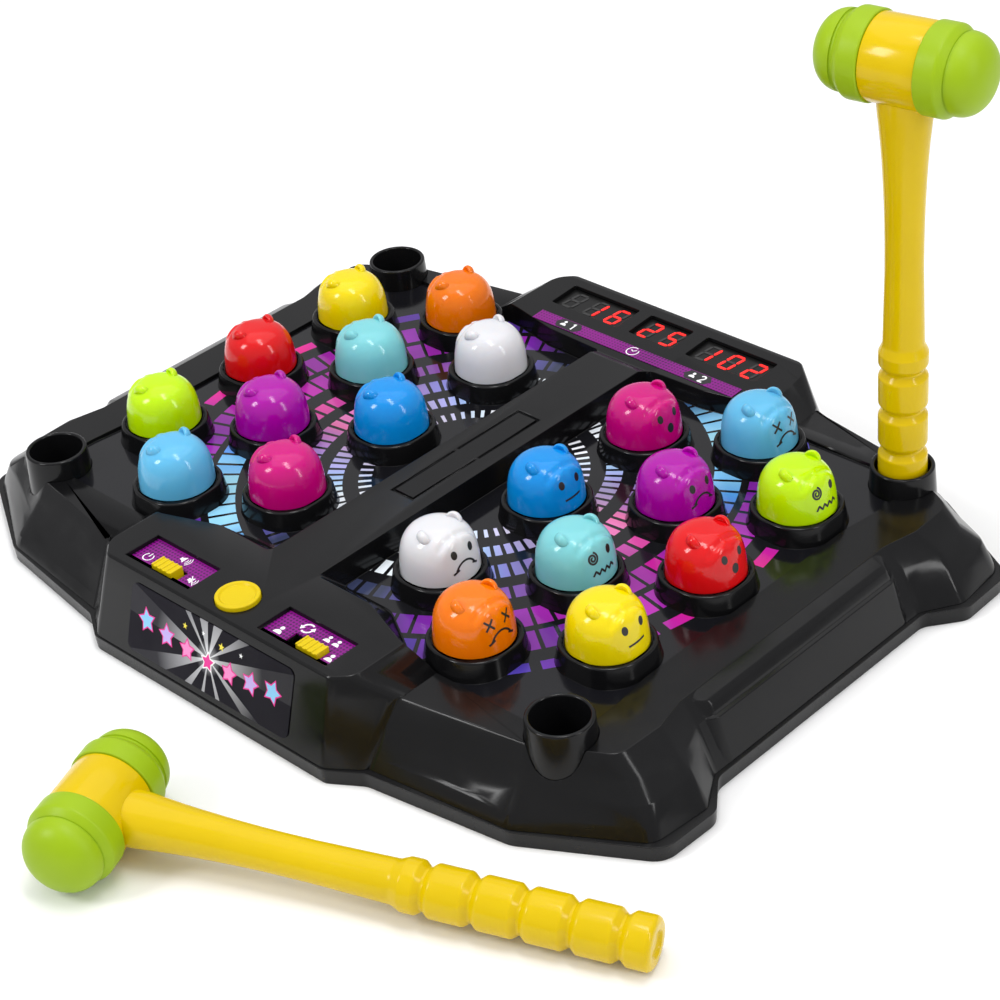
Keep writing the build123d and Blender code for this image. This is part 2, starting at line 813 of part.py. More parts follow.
def make_battery_cells():
    """The cells, each with its raised end, lying along Y in turn about."""
    cells = []
    for x, direction in cell_places():
        profile = [
            (0, 0),
            (cell_radius, 0),
            (cell_radius, cell_length),
            (cell_cap_radius, cell_length),
            (cell_cap_radius, cell_length + cell_cap_length),
            (0, cell_length + cell_cap_length),
        ]
        start = contact_thickness + contact_spring_length - bay_length / 2
        cell = Pos(x, bay_y, cell_axis_height) * Rot(0, 0, 90 * direction - 90) * Pos(0, start, 0)
        cells.append(cell * Rot(-90, 0, 0) * turned(profile))
    return Compound(children=cells)


def make_battery_contacts():
    """A flat contact at one end of each cell and one with a spring at the other."""
    contacts = []
    for x, direction in cell_places():
        at = Pos(x, bay_y, cell_axis_height) * Rot(0, 0, 90 * direction - 90)
        plate = Box(contact_size, contact_thickness, contact_size)
        offset = (bay_length - contact_thickness) / 2
        spring = turned([
            (0, 0),
            (contact_spring_radius, 0),
            (cell_cap_radius, contact_spring_length - slip_gap),
            (0, contact_spring_length - slip_gap),
        ])
        spring_end = at * Pos(0, contact_thickness - bay_length / 2, 0) * Rot(-90, 0, 0) * spring
        contacts.append(at * Pos(0, -offset, 0) * plate + spring_end)
        contacts.append(at * Pos(0, offset, 0) * plate)
    return Compound(children=contacts)


def make_speaker():
    """The loudspeaker, face down over the grille."""
    basket_height = speaker_height - speaker_magnet_height
    cone_inner = speaker_magnet_radius - speaker_ring_wall
    speaker = turned([
        (0, basket_height - speaker_ring_wall),
        (cone_inner, basket_height - speaker_ring_wall),
        (speaker_radius - 2 * speaker_ring_wall, 0),
        (speaker_radius, 0),
        (speaker_radius, speaker_rim_height),
        (speaker_magnet_radius, basket_height),
        (speaker_magnet_radius, speaker_height),
        (0, speaker_height),
    ])
    return Pos(0, speaker_y, tray_floor) * speaker


def make_feet():
    """Rubber feet, set in flush with the tray's underside."""
    places = corner_places(foot_place_shares)
    return Compound(children=[upright(foot_radius, 0, foot_depth, x, y) for x, y in places])


def screw(shank_radius, length, head_radius, head_height):
    """One screw pointing up, with its head's bearing face at z = 0."""
    return turned([
        (0, -head_height),
        (head_radius, -head_height),
        (head_radius, 0),
        (shank_radius, 0),
        (shank_radius, length - shank_radius),
        (0, length),
    ])


def make_housing_screws():
    """The screws that hold the top moulding on the tray."""
    one = screw(screw_radius, screw_length, screw_head_radius, screw_head_height)
    places = corner_places(column_place_shares)
    return Compound(children=[Pos(x, y, screw_pocket_depth) * one for x, y in places])


def make_board_screws():
    """The small screws of the circuit boards and of the battery door."""
    one = screw(board_screw_radius, board_screw_length, board_screw_head_radius, board_screw_head_height)
    screws = [Pos(x, y, field_board_top) * Rot(180, 0, 0) * one for x, y in field_board_posts()]
    screws += [Pos(x, y, control_board_height) * one for x, y in control_posts()]
    screws += [display_board_under().location * Pos(x, 0, 0) * one for x in display_post_x]
    screw_x, screw_y = door_screw_place()
    screws.append(Pos(screw_x, screw_y, board_screw_head_height) * one)
    return Compound(children=screws)


# Playing fields


def make_film(side):
    """The thin printed sheet on one field's floor, with holes for the collars and the cups."""
    outline = moved_in(placed(field_floor_shares), film_margin)
    radii = inner_radii(field_corner_radii, film_margin)
    high = playfield_height + film_thickness
    sheet = stacked([ring(outline, radii, playfield_height), ring(outline, radii, high)])
    half = collar_foot_half + running_gap
    corner = collar_foot_corner + running_gap
    cuts = []
    for x, y in mole_places(1):
        cuts.append(stacked([
            rounded_square(half, corner, playfield_height - cut_overrun, x, y),
            rounded_square(half, corner, high + cut_overrun, x, y),
        ]))
    cup_hole = cup_radius_at(playfield_height) + running_gap
    for end in mirror_signs:
        hole_low = playfield_height - cut_overrun
        cuts.append(upright(cup_hole, hole_low, high + cut_overrun, cup_x, end * cup_y))
    sheet -= cuts
    return sheet if side > 0 else mirror(sheet, about=Plane.YZ)


def dome_solid(radius, base, height, shares, radii):
    """A rounded cap above a base height, from a profile of shares of its radius and height."""
    points = [(radius * share_r, 0, base + height * share_z) for share_r, share_z in shares]
    flank = FilletPolyline(*points, radius=radii)
    closing = Polyline(points[-1], (0, 0, base), points[0])
    return revolve(make_face(flank + closing), Axis.Z)


def mole_ear(end):
    """One ear: a blunt cone that stands on the dome and leans outwards."""
    cone = Cone(mole_ear_foot_radius, mole_ear_tip_radius, mole_ear_length,
                align=(Align.CENTER, Align.CENTER, Align.MIN))
    ear = cone + Pos(0, 0, mole_ear_length) * Sphere(mole_ear_tip_radius)
    foot = collar_lip_height + mole_height - mole_ear_sink
    return Pos(0, end * mole_ear_spread, foot) * Rot(-end * mole_ear_lean, 0, 0) * ear


def make_mole():
    """A mole that faces +X: a hollow cap with two ears, a flange below, and a post on a crossbar."""
    outer = dome_solid(mole_radius, collar_lip_height, mole_height, mole_dome_shares, mole_dome_radii)
    outer += upright(mole_radius, flange_bottom, collar_lip_height)
    outer += upright(mole_flange_radius, flange_bottom, flange_top)
    outer += [mole_ear(end) for end in mirror_signs]
    face_x = mole_radius - mole_face_flat
    outer -= block(2 * (mole_radius - face_x), 2 * mole_radius, collar_lip_height + mole_face_low,
                   collar_lip_height + mole_face_high, mole_radius, 0)
    inner_radius = mole_radius - mole_wall
    inner_height = mole_height - mole_wall
    radii = [radius - mole_wall for radius in mole_dome_radii]
    inner = dome_solid(inner_radius, collar_lip_height, inner_height, mole_dome_shares, radii)
    inner += upright(inner_radius, flange_bottom - cut_overrun, collar_lip_height)
    web_top = flange_bottom + mole_web_height
    web = block(2 * inner_radius + mole_wall, mole_web_width, flange_bottom, web_top)
    post = upright(mole_post_radius, post_bottom, web_top)
    return outer - inner + web + post


def make_return_domes():
    """Rubber domes under the posts of the moles and under the start button's stem."""
    domes = []
    for x, y in mole_places(-1) + mole_places(1):
        height = post_bottom - slip_gap - field_board_top
        domes.append(Pos(x, y, field_board_top) * rubber_dome(height))
    height = button_stem_bottom - slip_gap - control_board_top
    domes.append(Pos(0, button_y, control_board_top) * rubber_dome(height))
    return Compound(children=domes)


def rubber_dome(height):
    """One rubber dome on z = 0."""
    return Cone(dome_foot_radius, dome_top_radius, height, align=(Align.CENTER, Align.CENTER, Align.MIN))


def make_mole_lights():
    """A light emitting diode on the field board beside each mole's post."""
    lamps = []
    for side in mirror_signs:
        for x, y in mole_places(side):
            lamps.append(Pos(x + side * lamp_offset, y, field_board_top) * turned([
                (0, 0),
                (lamp_radius, 0),
                (lamp_radius, lamp_height - lamp_radius / 2),
                (lamp_radius / 2, lamp_height),
                (0, lamp_height),
            ]))
    return Compound(children=lamps)


def make_field_board(side):
    """The circuit board under one field, with its corners cut away round the cups."""
    length = field_board_outer_x - field_board_inner_x
    middle = side * (field_board_outer_x + field_board_inner_x) / 2
    board = block(length, 2 * field_board_half_y, field_board_height, field_board_top, middle, 0)
    notch_radius = cup_foot_radius + fit_gap + cup_socket_wall + field_board_cup_gap
    low = field_board_height - cut_overrun
    high = field_board_top + cut_overrun
    cuts = [upright(notch_radius, low, high, side * cup_x, end * cup_y) for end in mirror_signs]
    cuts += [upright(board_screw_radius + slip_gap, low, high, x, y) for x, y in field_board_posts()]
    return board - cuts


def make_cup():
    """A hammer cup on the Z axis: a tapered tube with a longer, straight tail."""
    return turned([
        (cup_bore_radius, tray_floor),
        (cup_tail_radius, tray_floor),
        (cup_tail_radius, cup_foot_height),
        (cup_foot_radius, cup_foot_height),
        (cup_radius, cup_height - edge_round),
        (cup_radius - edge_round, cup_height),
        (cup_bore_radius, cup_height),
    ])


# Control panel


def make_plate(side):
    """A printed plate of the control panel, with the slot for its knob."""
    plate = block(plate_length, plate_width, plate_bottom, plate_top, side * plate_x, plate_y)
    return plate - [knob_slot(*knob) for knob in knobs().values()]


def make_knob(x):
    """A ribbed slide knob with its shoe under the pan and its lever into the switch."""
    knob = block(knob_length, knob_width, shoe_bottom, knob_top - knob_ridge_height, x, knob_y)
    middle = (knob_ridge_count - 1) / 2
    pitch = (knob_length - knob_ridge_width) / (knob_ridge_count - 1)
    ridges = []
    for index in range(knob_ridge_count):
        ridge_x = x + (index - middle) * pitch
        ridges.append(block(knob_ridge_width, knob_width, shoe_top, knob_top, ridge_x, knob_y))
    shoe_length = knob_length + 2 * knob_shoe_margin
    shoe_width = knob_width + 2 * knob_shoe_margin
    shoe = block(shoe_length, shoe_width, shoe_bottom, shoe_top, x, knob_y)
    lever = block(knob_lever_width, knob_lever_width, switch_top - knob_lever_reach, shoe_top, x, knob_y)
    return knob + ridges + [shoe, lever]


def make_slide_switches():
    """The two slide switches on the control board, with slots for the knobs' levers."""
    switches = []
    slot_width = knob_lever_width + 2 * knob_play
    for x, least, most in knobs().values():
        middle = x + (least + most) / 2
        body = block(switch_length, switch_width, control_board_top, switch_top, middle, knob_y)
        slot = travel_block((x, least, most), slot_width, slot_width, switch_top - switch_slot_depth,
                            switch_top + cut_overrun)
        switches.append(body - slot)
    return Compound(children=switches)


def make_control_board():
    """The circuit board under the control panel."""
    low = control_board_height
    board = block(2 * control_board_half_length, control_board_width, low, control_board_top, 0, button_y)
    hole_top = control_board_top + cut_overrun
    holes = [upright(board_screw_radius + slip_gap, low - cut_overrun, hole_top, x, y)
             for x, y in control_posts()]
    return board - holes


def make_start_button():
    """The round start button: a dished top, a flange under the panel and a stem."""
    rim_inner = button_radius - button_rim_width
    return Pos(0, button_y, 0) * turned([
        (0, button_stem_bottom),
        (button_stem_radius, button_stem_bottom),
        (button_stem_radius, button_flange_bottom),
        (button_radius + button_flange_width, button_flange_bottom),
        (button_radius + button_flange_width, button_flange_top),
        (button_radius, button_flange_top),
        (button_radius, button_top - edge_round / 2),
        (button_radius - edge_round / 2, button_top),
        (rim_inner, button_top),
        (rim_inner - button_dish_depth, button_top - button_dish_depth),
        (0, button_top - button_dish_depth),
    ])


def make_front_label():
    """The dark label on the sloping front of the control panel."""
    slope_length = (label_high_height - label_low_height) / label_plane().y_dir.Z
    at = label_plane().location * Pos(0, 0, slip_gap)
    outline = RectangleRounded(2 * label_half_length, slope_length, label_corner)
    return at * extrude(outline, amount=label_thickness)


# Score display


def make_display_module(span):
    """One block of digits behind its window."""
    low_x, high_x = span
    length = high_x - low_x + 2 * module_margin
    width = window_width + 2 * module_margin
    body = Box(length, width, module_height, align=(Align.CENTER, Align.CENTER, Align.MAX))
    at = display_plane(window_y, -housing_wall - fit_gap).location
    return at * Pos((low_x + high_x) / 2, 0, 0) * body


def segment_places():
    """Middle and direction of the seven segments of a digit, from its own middle."""
    half = segment_length / 2
    return {
        "a": (0, segment_length, False),
        "b": (half, half, True),
        "c": (half, -half, True),
        "d": (0, -segment_length, False),
        "e": (-half, -half, True),
        "f": (-half, half, True),
        "g": (0, 0, False),
    }


def segment(middle_x, middle_y, upward):
    """One pointed segment, sheared with the digit's slant."""
    reach = segment_length / 2 - segment_join
    half = segment_width / 2
    below = [(half - reach, -half), (reach - half, -half)]
    above = [(reach - half, half), (half - reach, half)]
    points = [(-reach, 0)] + below + [(reach, 0)] + above
    lean = math.tan(math.radians(digit_slant))
    corners = []
    for along, across in points:
        x, y = (across, along) if upward else (along, across)
        corners.append((middle_x + x + (middle_y + y) * lean, middle_y + y))
    return extrude(make_face(Polyline(*corners, close=True)), amount=segment_height, dir=(0, 0, 1))


def make_digit_segments(lit):
    """All lit or all dark segments of the three displays."""
    at = display_plane(window_y, -housing_wall - fit_gap).location
    solids = []
    for (low_x, high_x), digits, dark_first in zip(window_spans, shown_digits, first_digit_dark):
        middle = (len(digits) - 1) / 2
        for index, digit in enumerate(digits):
            digit_x = (low_x + high_x) / 2 + (index - middle) * digit_pitch
            shown = "" if dark_first and index == 0 else lit_segments[digit]
            for name, (x, y, upward) in segment_places().items():
                if (name in shown) == lit:
                    solids.append(at * Pos(digit_x, 0, 0) * segment(x, y, upward))
    return Compound(children=solids)


def make_display_board():
    """The circuit board under the digit blocks."""
    board = Box(2 * display_board_half_length, display_board_width, board_thickness,
                align=(Align.CENTER, Align.CENTER, Align.MIN))
    holes = [Pos(x, 0, 0) * Cylinder(board_screw_radius + slip_gap, 2 * (board_thickness + cut_overrun))
             for x in display_post_x]
    return display_board_under().location * (board - holes)


def make_display_stripe():
    """The printed stripe between the display and the fields."""
    stripe = extrude(Rectangle(2 * stripe_half_length, stripe_width), amount=stripe_thickness)
    return display_plane(stripe_y, slip_gap).location * stripe


# Hammers, made with the middle of the head at the origin and the grip pointing down


def make_hammer_handle():
    """The yellow moulding: grooved grip, shaft, flare and barrel with two spigots."""
    profile = [(0, 0), (grip_radius - grip_end_round, 0), (grip_radius, grip_end_round)]
    for index in range(grip_groove_count):
        at = grip_end_length + index * grip_pitch
        profile += [
            (grip_radius, at - grip_groove_half - grip_shoulder),
            (grip_groove_radius, at - grip_groove_half),
            (grip_groove_radius, at + grip_groove_half),
            (grip_radius, at + grip_groove_half + grip_shoulder),
        ]
    bead_top = grip_end_length + (grip_groove_count - 1) * grip_pitch + neck_bead_length
    profile += [
        (grip_radius, bead_top - neck_slope),
        (neck_radius, bead_top),
        (waist_radius, hammer_length - waist_distance),
        (flare_half_widths[0], hammer_length - flare_distances[0]),
        (0, hammer_length - flare_distances[0]),
    ]
    shaft = Pos(0, 0, -hammer_length) * turned(profile)
    sections = []
    for distance, half_along, half_across in zip(flare_distances, flare_half_lengths, flare_half_widths):
        sections.append((Pos(0, 0, -distance) * Ellipse(half_along, half_across)).face().outer_wire())
    flare = Solid.make_loft(sections)
    barrel = Rot(0, 90, 0) * Cylinder(barrel_radius, 2 * barrel_half_length)
    spigots = Rot(0, 90, 0) * Cylinder(spigot_radius, 2 * (barrel_half_length + spigot_length))
    return shaft + flare + barrel + spigots


def make_hammer_cap(side):
    """A soft striking cap over one spigot: a wide band, a groove and a domed end."""
    band_end = cap_band_length
    groove_end = band_end + cap_groove_width
    profile = [
        (spigot_radius + slip_gap, 0),
        (cap_radius - edge_round, 0),
        (cap_radius, edge_round),
        (cap_radius, band_end - 2 * edge_round),
        (cap_radius - 2 * edge_round, band_end),
        (cap_groove_radius, band_end),
        (cap_groove_radius, groove_end),
    ]
    for share_r, share_z in cap_end_shares:
        profile.append((cap_dome_radius * share_r, groove_end + cap_dome_length * share_z))
    profile += [(0, spigot_length + slip_gap), (spigot_radius + slip_gap, spigot_length + slip_gap)]
    return Rot(0, 90 * side, 0) * Pos(0, 0, barrel_half_length + slip_gap) * turned(profile)


def standing_place():
    """Where the standing hammer is: upright in the rear right cup, its grip on the tray's floor."""
    return Pos(cup_x, cup_y, tray_floor + slip_gap + hammer_length) * Rot(0, 0, standing_hammer_turn)


def lying_place():
    """Where the lying hammer is: on its two caps and the end of its grip."""
    reach = hammer_length - grip_end_round
    lean = math.asin(cap_radius / math.hypot(reach, grip_radius)) - math.atan2(grip_radius, reach)
    turn = Rot(0, 0, lying_hammer_turn - 90) * Rot(90 - math.degrees(lean), 0, 0)
    return Pos(lying_hammer_x, lying_hammer_y, cap_radius) * turn


save(make_upper_housing(), "upper_housing")
save(make_lower_housing(), "lower_housing")
save(make_battery_door(), "battery_door")
save(make_battery_cells(), "battery_cells")
save(make_battery_contacts(), "battery_contacts")
save(make_speaker(), "speaker")
save(make_feet(), "feet")
save(make_housing_screws(), "housing_screws")
save(make_board_screws(), "board_screws")

mole = make_mole()
cup = make_cup()
for side, side_name, turn in ((-1, "left", 180), (1, "right", 0)):
    save(make_film(side), f"playfield_{side_name}")
    save(make_field_board(side), f"field_board_{side_name}")
    for number, (x, y) in enumerate(mole_places(side), start=1):
        save(Pos(x, y, 0) * Rot(0, 0, turn) * mole, f"mole_{side_name}_{number:02d}")
for place_name, (x, y) in cup_places().items():
    save(Pos(x, y, 0) * cup, f"hammer_cup_{place_name}")
save(make_return_domes(), "return_domes")
save(make_mole_lights(), "mole_lights")

save(make_plate(-1), "sound_plate")
save(make_plate(1), "mode_plate")
save(make_knob(sound_knob_x), "sound_knob")
save(make_knob(mode_knob_x), "mode_knob")
save(make_slide_switches(), "slide_switches")
save(make_control_board(), "control_board")
save(make_start_button(), "start_button")
save(make_front_label(), "front_label")

for module_name, span in zip(("left", "middle", "right"), window_spans):
    save(make_display_module(span), f"digit_module_{module_name}")
save(make_digit_segments(True), "digit_segments_lit")
save(make_digit_segments(False), "digit_segments_unlit")
save(make_display_board(), "display_board")
save(make_display_stripe(), "display_stripe")

for hammer_name, place in (("standing", standing_place()), ("lying", lying_place())):
    save(place * make_hammer_handle(), f"{hammer_name}_hammer_handle")
    save(place * make_hammer_cap(-1), f"{hammer_name}_hammer_cap_a")
    save(place * make_hammer_cap(1), f"{hammer_name}_hammer_cap_b")
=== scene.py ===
import math

import bmesh
import bpy
from mathutils import Matrix, Vector
from mathutils.bvhtree import BVHTree


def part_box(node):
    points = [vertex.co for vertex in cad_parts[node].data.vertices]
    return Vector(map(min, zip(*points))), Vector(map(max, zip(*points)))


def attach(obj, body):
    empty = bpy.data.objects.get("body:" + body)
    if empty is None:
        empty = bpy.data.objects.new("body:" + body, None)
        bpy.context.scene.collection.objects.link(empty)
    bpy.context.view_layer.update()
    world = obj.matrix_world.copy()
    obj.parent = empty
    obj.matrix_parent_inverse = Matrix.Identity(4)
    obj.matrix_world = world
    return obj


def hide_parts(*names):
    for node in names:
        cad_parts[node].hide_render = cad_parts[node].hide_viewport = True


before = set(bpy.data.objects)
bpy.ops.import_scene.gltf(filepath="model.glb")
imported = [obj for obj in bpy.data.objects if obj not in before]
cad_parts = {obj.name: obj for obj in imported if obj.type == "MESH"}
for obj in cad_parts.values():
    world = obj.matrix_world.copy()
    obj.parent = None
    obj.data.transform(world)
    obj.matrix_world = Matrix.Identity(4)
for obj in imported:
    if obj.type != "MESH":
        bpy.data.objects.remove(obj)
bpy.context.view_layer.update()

# Sizes are in millimetres and become metres where a mesh is made.
mm = 0.001

# Board
playfield_height = 36.0
collar_lip_height = 46.0
collar_lip_half = 20.42
collar_foot_half = 22.02
collar_lip_corner = 17.3
collar_foot_corner = 18.3
button_radius = 10.5
button_top = 50.8

# Moles
mole_radius = 18.5
collar_bore_radius = mole_radius + 0.25
mole_height = 22.4
mole_wall = 1.8
mole_squareness = 3.1
mole_taper_share = 0.035
mole_flange_top = 33.5
mole_flange_bottom = 31.8
mole_flange_radius = 20.6
mole_around = 128
mole_up = 56
mole_up_inside = 8
ear_spread = 9.3
ear_forward = 1.6
ear_middle_height = 19.0
ear_half_width = 4.5
ear_half_height = 5.0
ear_dish = 1.0
ear_around = 36
crown_swell = 0.4
crown_swell_x = 8.0
crown_swell_size = 2.8
face_depth = 0.9
face_height = 10.0
face_reach_up = 7.0
face_reach_across = 11.0
ink_height = 0.07
ink_depth = 0.3
ink_width = 0.95
eye_spread = 5.0
eye_height = 14.0
spiral_turns = 2.0
spiral_steps = 48

# Hammers
hammer_length = 248.0
barrel_radius = 19.5
barrel_half_length = 13.2
cap_radius = 20.4
cap_band_length = 13.0
cap_groove_radius = 17.4
cap_groove_width = 1.2
cap_dome_radius = 18.2
cap_dome_length = 13.4
cap_dome_steps = 20
grip_radius = 11.5
grip_groove_radius = 9.3
grip_groove_half = 0.9
grip_slope_half = 3.3
grip_pitch = 20.9
grip_end_length = 13.4
grip_groove_count = 5
grip_end_clearance = 0.3
neck_bead_length = 13.5
neck_radius = 9.6
waist_radius = 8.8
waist_distance = 100.0
standing_turn = 8.0
lying_turn = 22.2
round_steps = 72
fine_steps = 96

# Cups
cup_height = 48.0
cup_radius = 15.05
cup_foot_radius = 16.6
cup_foot_height = 24.0
cup_bore_radius = 13.0
cup_tail_radius = 14.7
cup_tail_height = 2.5

# Camera, solved from the board's edges in the 1000 by 1000 picture
picture_size = 1000
camera_azimuth = 46.9231
camera_elevation = 33.7474
camera_roll = -5.5614
camera_focal_pixels = 2565.57
camera_place = (765.37, -696.89, 711.99)
sensor_width = 36.0


# Materials

class Graph:
    """The nodes of a material or of the world, with short ways to add to them."""

    def __init__(self, tree, coordinates="Object"):
        self.nodes = tree.nodes
        self.links = tree.links
        self.place = self.nodes.new("ShaderNodeTexCoord").outputs[coordinates]

    def feed(self, socket, value):
        """Links a socket to another one, or sets its value."""
        if isinstance(value, bpy.types.NodeSocket):
            self.links.new(value, socket)
        elif socket.type == "RGBA":
            socket.default_value = (*value, 1.0)
        else:
            socket.default_value = value

    def add(self, kind, inputs, output, **settings):
        """One output of a new node, whose inputs are given by name or number."""
        made = self.nodes.new(kind)
        for name, value in settings.items():
            setattr(made, name, value)
        for socket, value in inputs.items():
            self.feed(made.inputs[socket], value)
        return made.outputs[output]

    def noise(self, scale, detail=2.0, stretch=None):
        """A noise value between 0 and 1 at a scale per metre."""
        place = self.place
        if stretch:
            place = self.add("ShaderNodeMapping", {"Vector": place, "Scale": stretch}, "Vector")
        return self.add("ShaderNodeTexNoise", {"Vector": place, "Scale": scale, "Detail": detail}, "Fac")

    def ranged(self, value, low, high, start=0.3, end=0.7):
        """A value from start to end made to run from low to high."""
        inputs = {"Value": value, "From Min": start, "From Max": end, "To Min": low, "To Max": high}
        return self.add("ShaderNodeMapRange", inputs, "Result")

    def mixed(self, factor, first, second):
        """A mix of two colours, each given as a colour or a socket."""
        return self.add("ShaderNodeMix", {0: factor, 6: first, 7: second}, 2, data_type="RGBA")

    def maths(self, operation, first, second=None):
        """A sum of one or two values, each given as a number or a socket."""
        inputs = {0: first} if second is None else {0: first, 1: second}
        return self.add("ShaderNodeMath", inputs, "Value", operation=operation)

    def parts_of_place(self):
        """The three coordinates of the place."""
        made = self.nodes.new("ShaderNodeSeparateXYZ")
        self.links.new(self.place, made.inputs["Vector"])
        return made.outputs["X"], made.outputs["Y"], made.outputs["Z"]

    def ramp(self, value, stops):
        """A colour that runs through stops of (position, colour)."""
        made = self.nodes.new("ShaderNodeValToRGB")
        elements = made.color_ramp.elements
        while len(elements) > 1:
            elements.remove(elements[-1])
        elements[0].position = stops[0][0]
        elements[0].color = (*stops[0][1], 1.0)
        for position, colour in stops[1:]:
            elements.new(position).color = (*colour, 1.0)
        self.links.new(value, made.inputs["Fac"])
        return made.outputs["Color"]


class Finish(Graph):
    """A material whose nodes end in one shader."""

    def __init__(self, name):
        self.made = bpy.data.materials.new(name)
        self.made.use_nodes = True
        super().__init__(self.made.node_tree)
        self.shader = self.nodes["Principled BSDF"]

    def give(self, inputs):
        """Sets or links inputs of the shader."""
        for name, value in inputs.items():
            self.feed(self.shader.inputs[name], value)

    def bump(self, value, strength, height=0.02):
        """Raises the surface by a value, up to a height in millimetres."""
        inputs = {"Strength": strength, "Distance": height * mm, "Height": value}
        self.give({"Normal": self.add("ShaderNodeBump", inputs, "Normal")})

    def skin(self, colour, smears, low, high, specular):
        """Gives the surface a colour and a gloss that runs from low to high in smears."""
        roughness = self.ranged(smears, low, high)
        self.give({"Base Color": colour, "Roughness": roughness, "Specular IOR Level": specular})


def scaled(colour, factor):
    return tuple(min(1.0, part * factor) for part in colour)


cloud_scale = 28.0
smear_scale = 75.0
coat_roughness = 0.06
scatter_reach = (1.0, 0.6, 0.4)


def moulded(name, colour, roughness, shade=0.06, spread=0.05, grain=900.0, bump=0.12,
            bump_height=0.02, specular=0.5, coat=0.0, scatter=0.0, scatter_radius=3.0):
    """Moulded plastic with cloudy shade, uneven gloss and a fine skin."""
    finish = Finish(name)
    cloud = finish.ranged(finish.noise(cloud_scale, 3.0), 0.0, 1.0)
    clouded = finish.mixed(cloud, scaled(colour, 1 - shade), scaled(colour, 1 + shade))
    smears = finish.noise(smear_scale, 4.0)
    finish.skin(clouded, smears, roughness - spread, roughness + spread, specular)
    finish.bump(finish.noise(grain), bump, bump_height)
    finish.give({"Coat Weight": coat, "Coat Roughness": coat_roughness})
    if scatter:
        finish.give({"Subsurface Weight": scatter, "Subsurface Radius": scatter_reach,
                     "Subsurface Scale": scatter_radius * mm})
    return finish.made


def metal(name, colour, roughness):
    """Metal with cloudy shade and fine scratches."""
    finish = Finish(name)
    cloud = finish.noise(120.0, 3.0)
    finish.give({
        "Base Color": finish.mixed(cloud, scaled(colour, 0.85), colour),
        "Roughness": finish.ranged(cloud, roughness - 0.06, roughness + 0.1),
        "Metallic": 1.0,
    })
    finish.bump(finish.noise(600.0, 2.0, (1.0, 14.0, 1.0)), 0.1)
    return finish.made


# Rings of printed tiles round the middle of the board. For each: middle radius, width, number of
# tiles, share of the pitch that a tile fills, and its place on the colour ramp: by the long axis,
# added towards the short axis, and added in the quarters behind on the right and in front on the left
tile_rings_middle_y = 3.5
tile_rings = [
    (53.0, 6.4, 68, 0.36, 0.97, -1.35, 0.0),
    (68.0, 8.2, 84, 0.64, 0.95, -1.35, 0.0),
    (84.5, 10.4, 84, 0.70, 0.95, -1.20, 0.0),
    (102.0, 9.0, 80, 0.74, 0.84, -0.42, 0.0),
    (122.5, 13.4, 86, 0.80, 0.80, -0.15, -0.58),
    (140.0, 14.0, 96, 0.78, 0.80, -0.30, 0.0),
    (158.5, 6.2, 50, 0.74, 0.92, -0.80, 0.0),
]
pale_shares = [
    (0.0, (0.62, 0.62, 0.62)), (0.1, (0.34, 0.34, 0.34)), (0.25, (0.1, 0.1, 0.1)), (0.4, (0.0, 0.0, 0.0)),
]
pale_colour = (0.94, 0.90, 0.97)
slate_rings = (3, 4)
slate_angles = (60, 70)
slate_colour = (0.022, 0.034, 0.045)
film_colour = (0.006, 0.006, 0.008)
turned_angles = (4, 75)
tile_colours = [
    (0.0, (0.86, 0.95, 1.0)), (0.12, (0.36, 0.78, 0.98)), (0.26, (0.09, 0.36, 0.85)),
    (0.4, (0.13, 0.13, 0.70)), (0.52, (0.075, 0.035, 0.38)), (0.64, (0.15, 0.02, 0.36)),
    (0.78, (0.40, 0.02, 0.42)), (0.88, (0.78, 0.008, 0.28)), (1.0, (0.80, 0.09, 0.50)),
]
tile_spread = 0.035


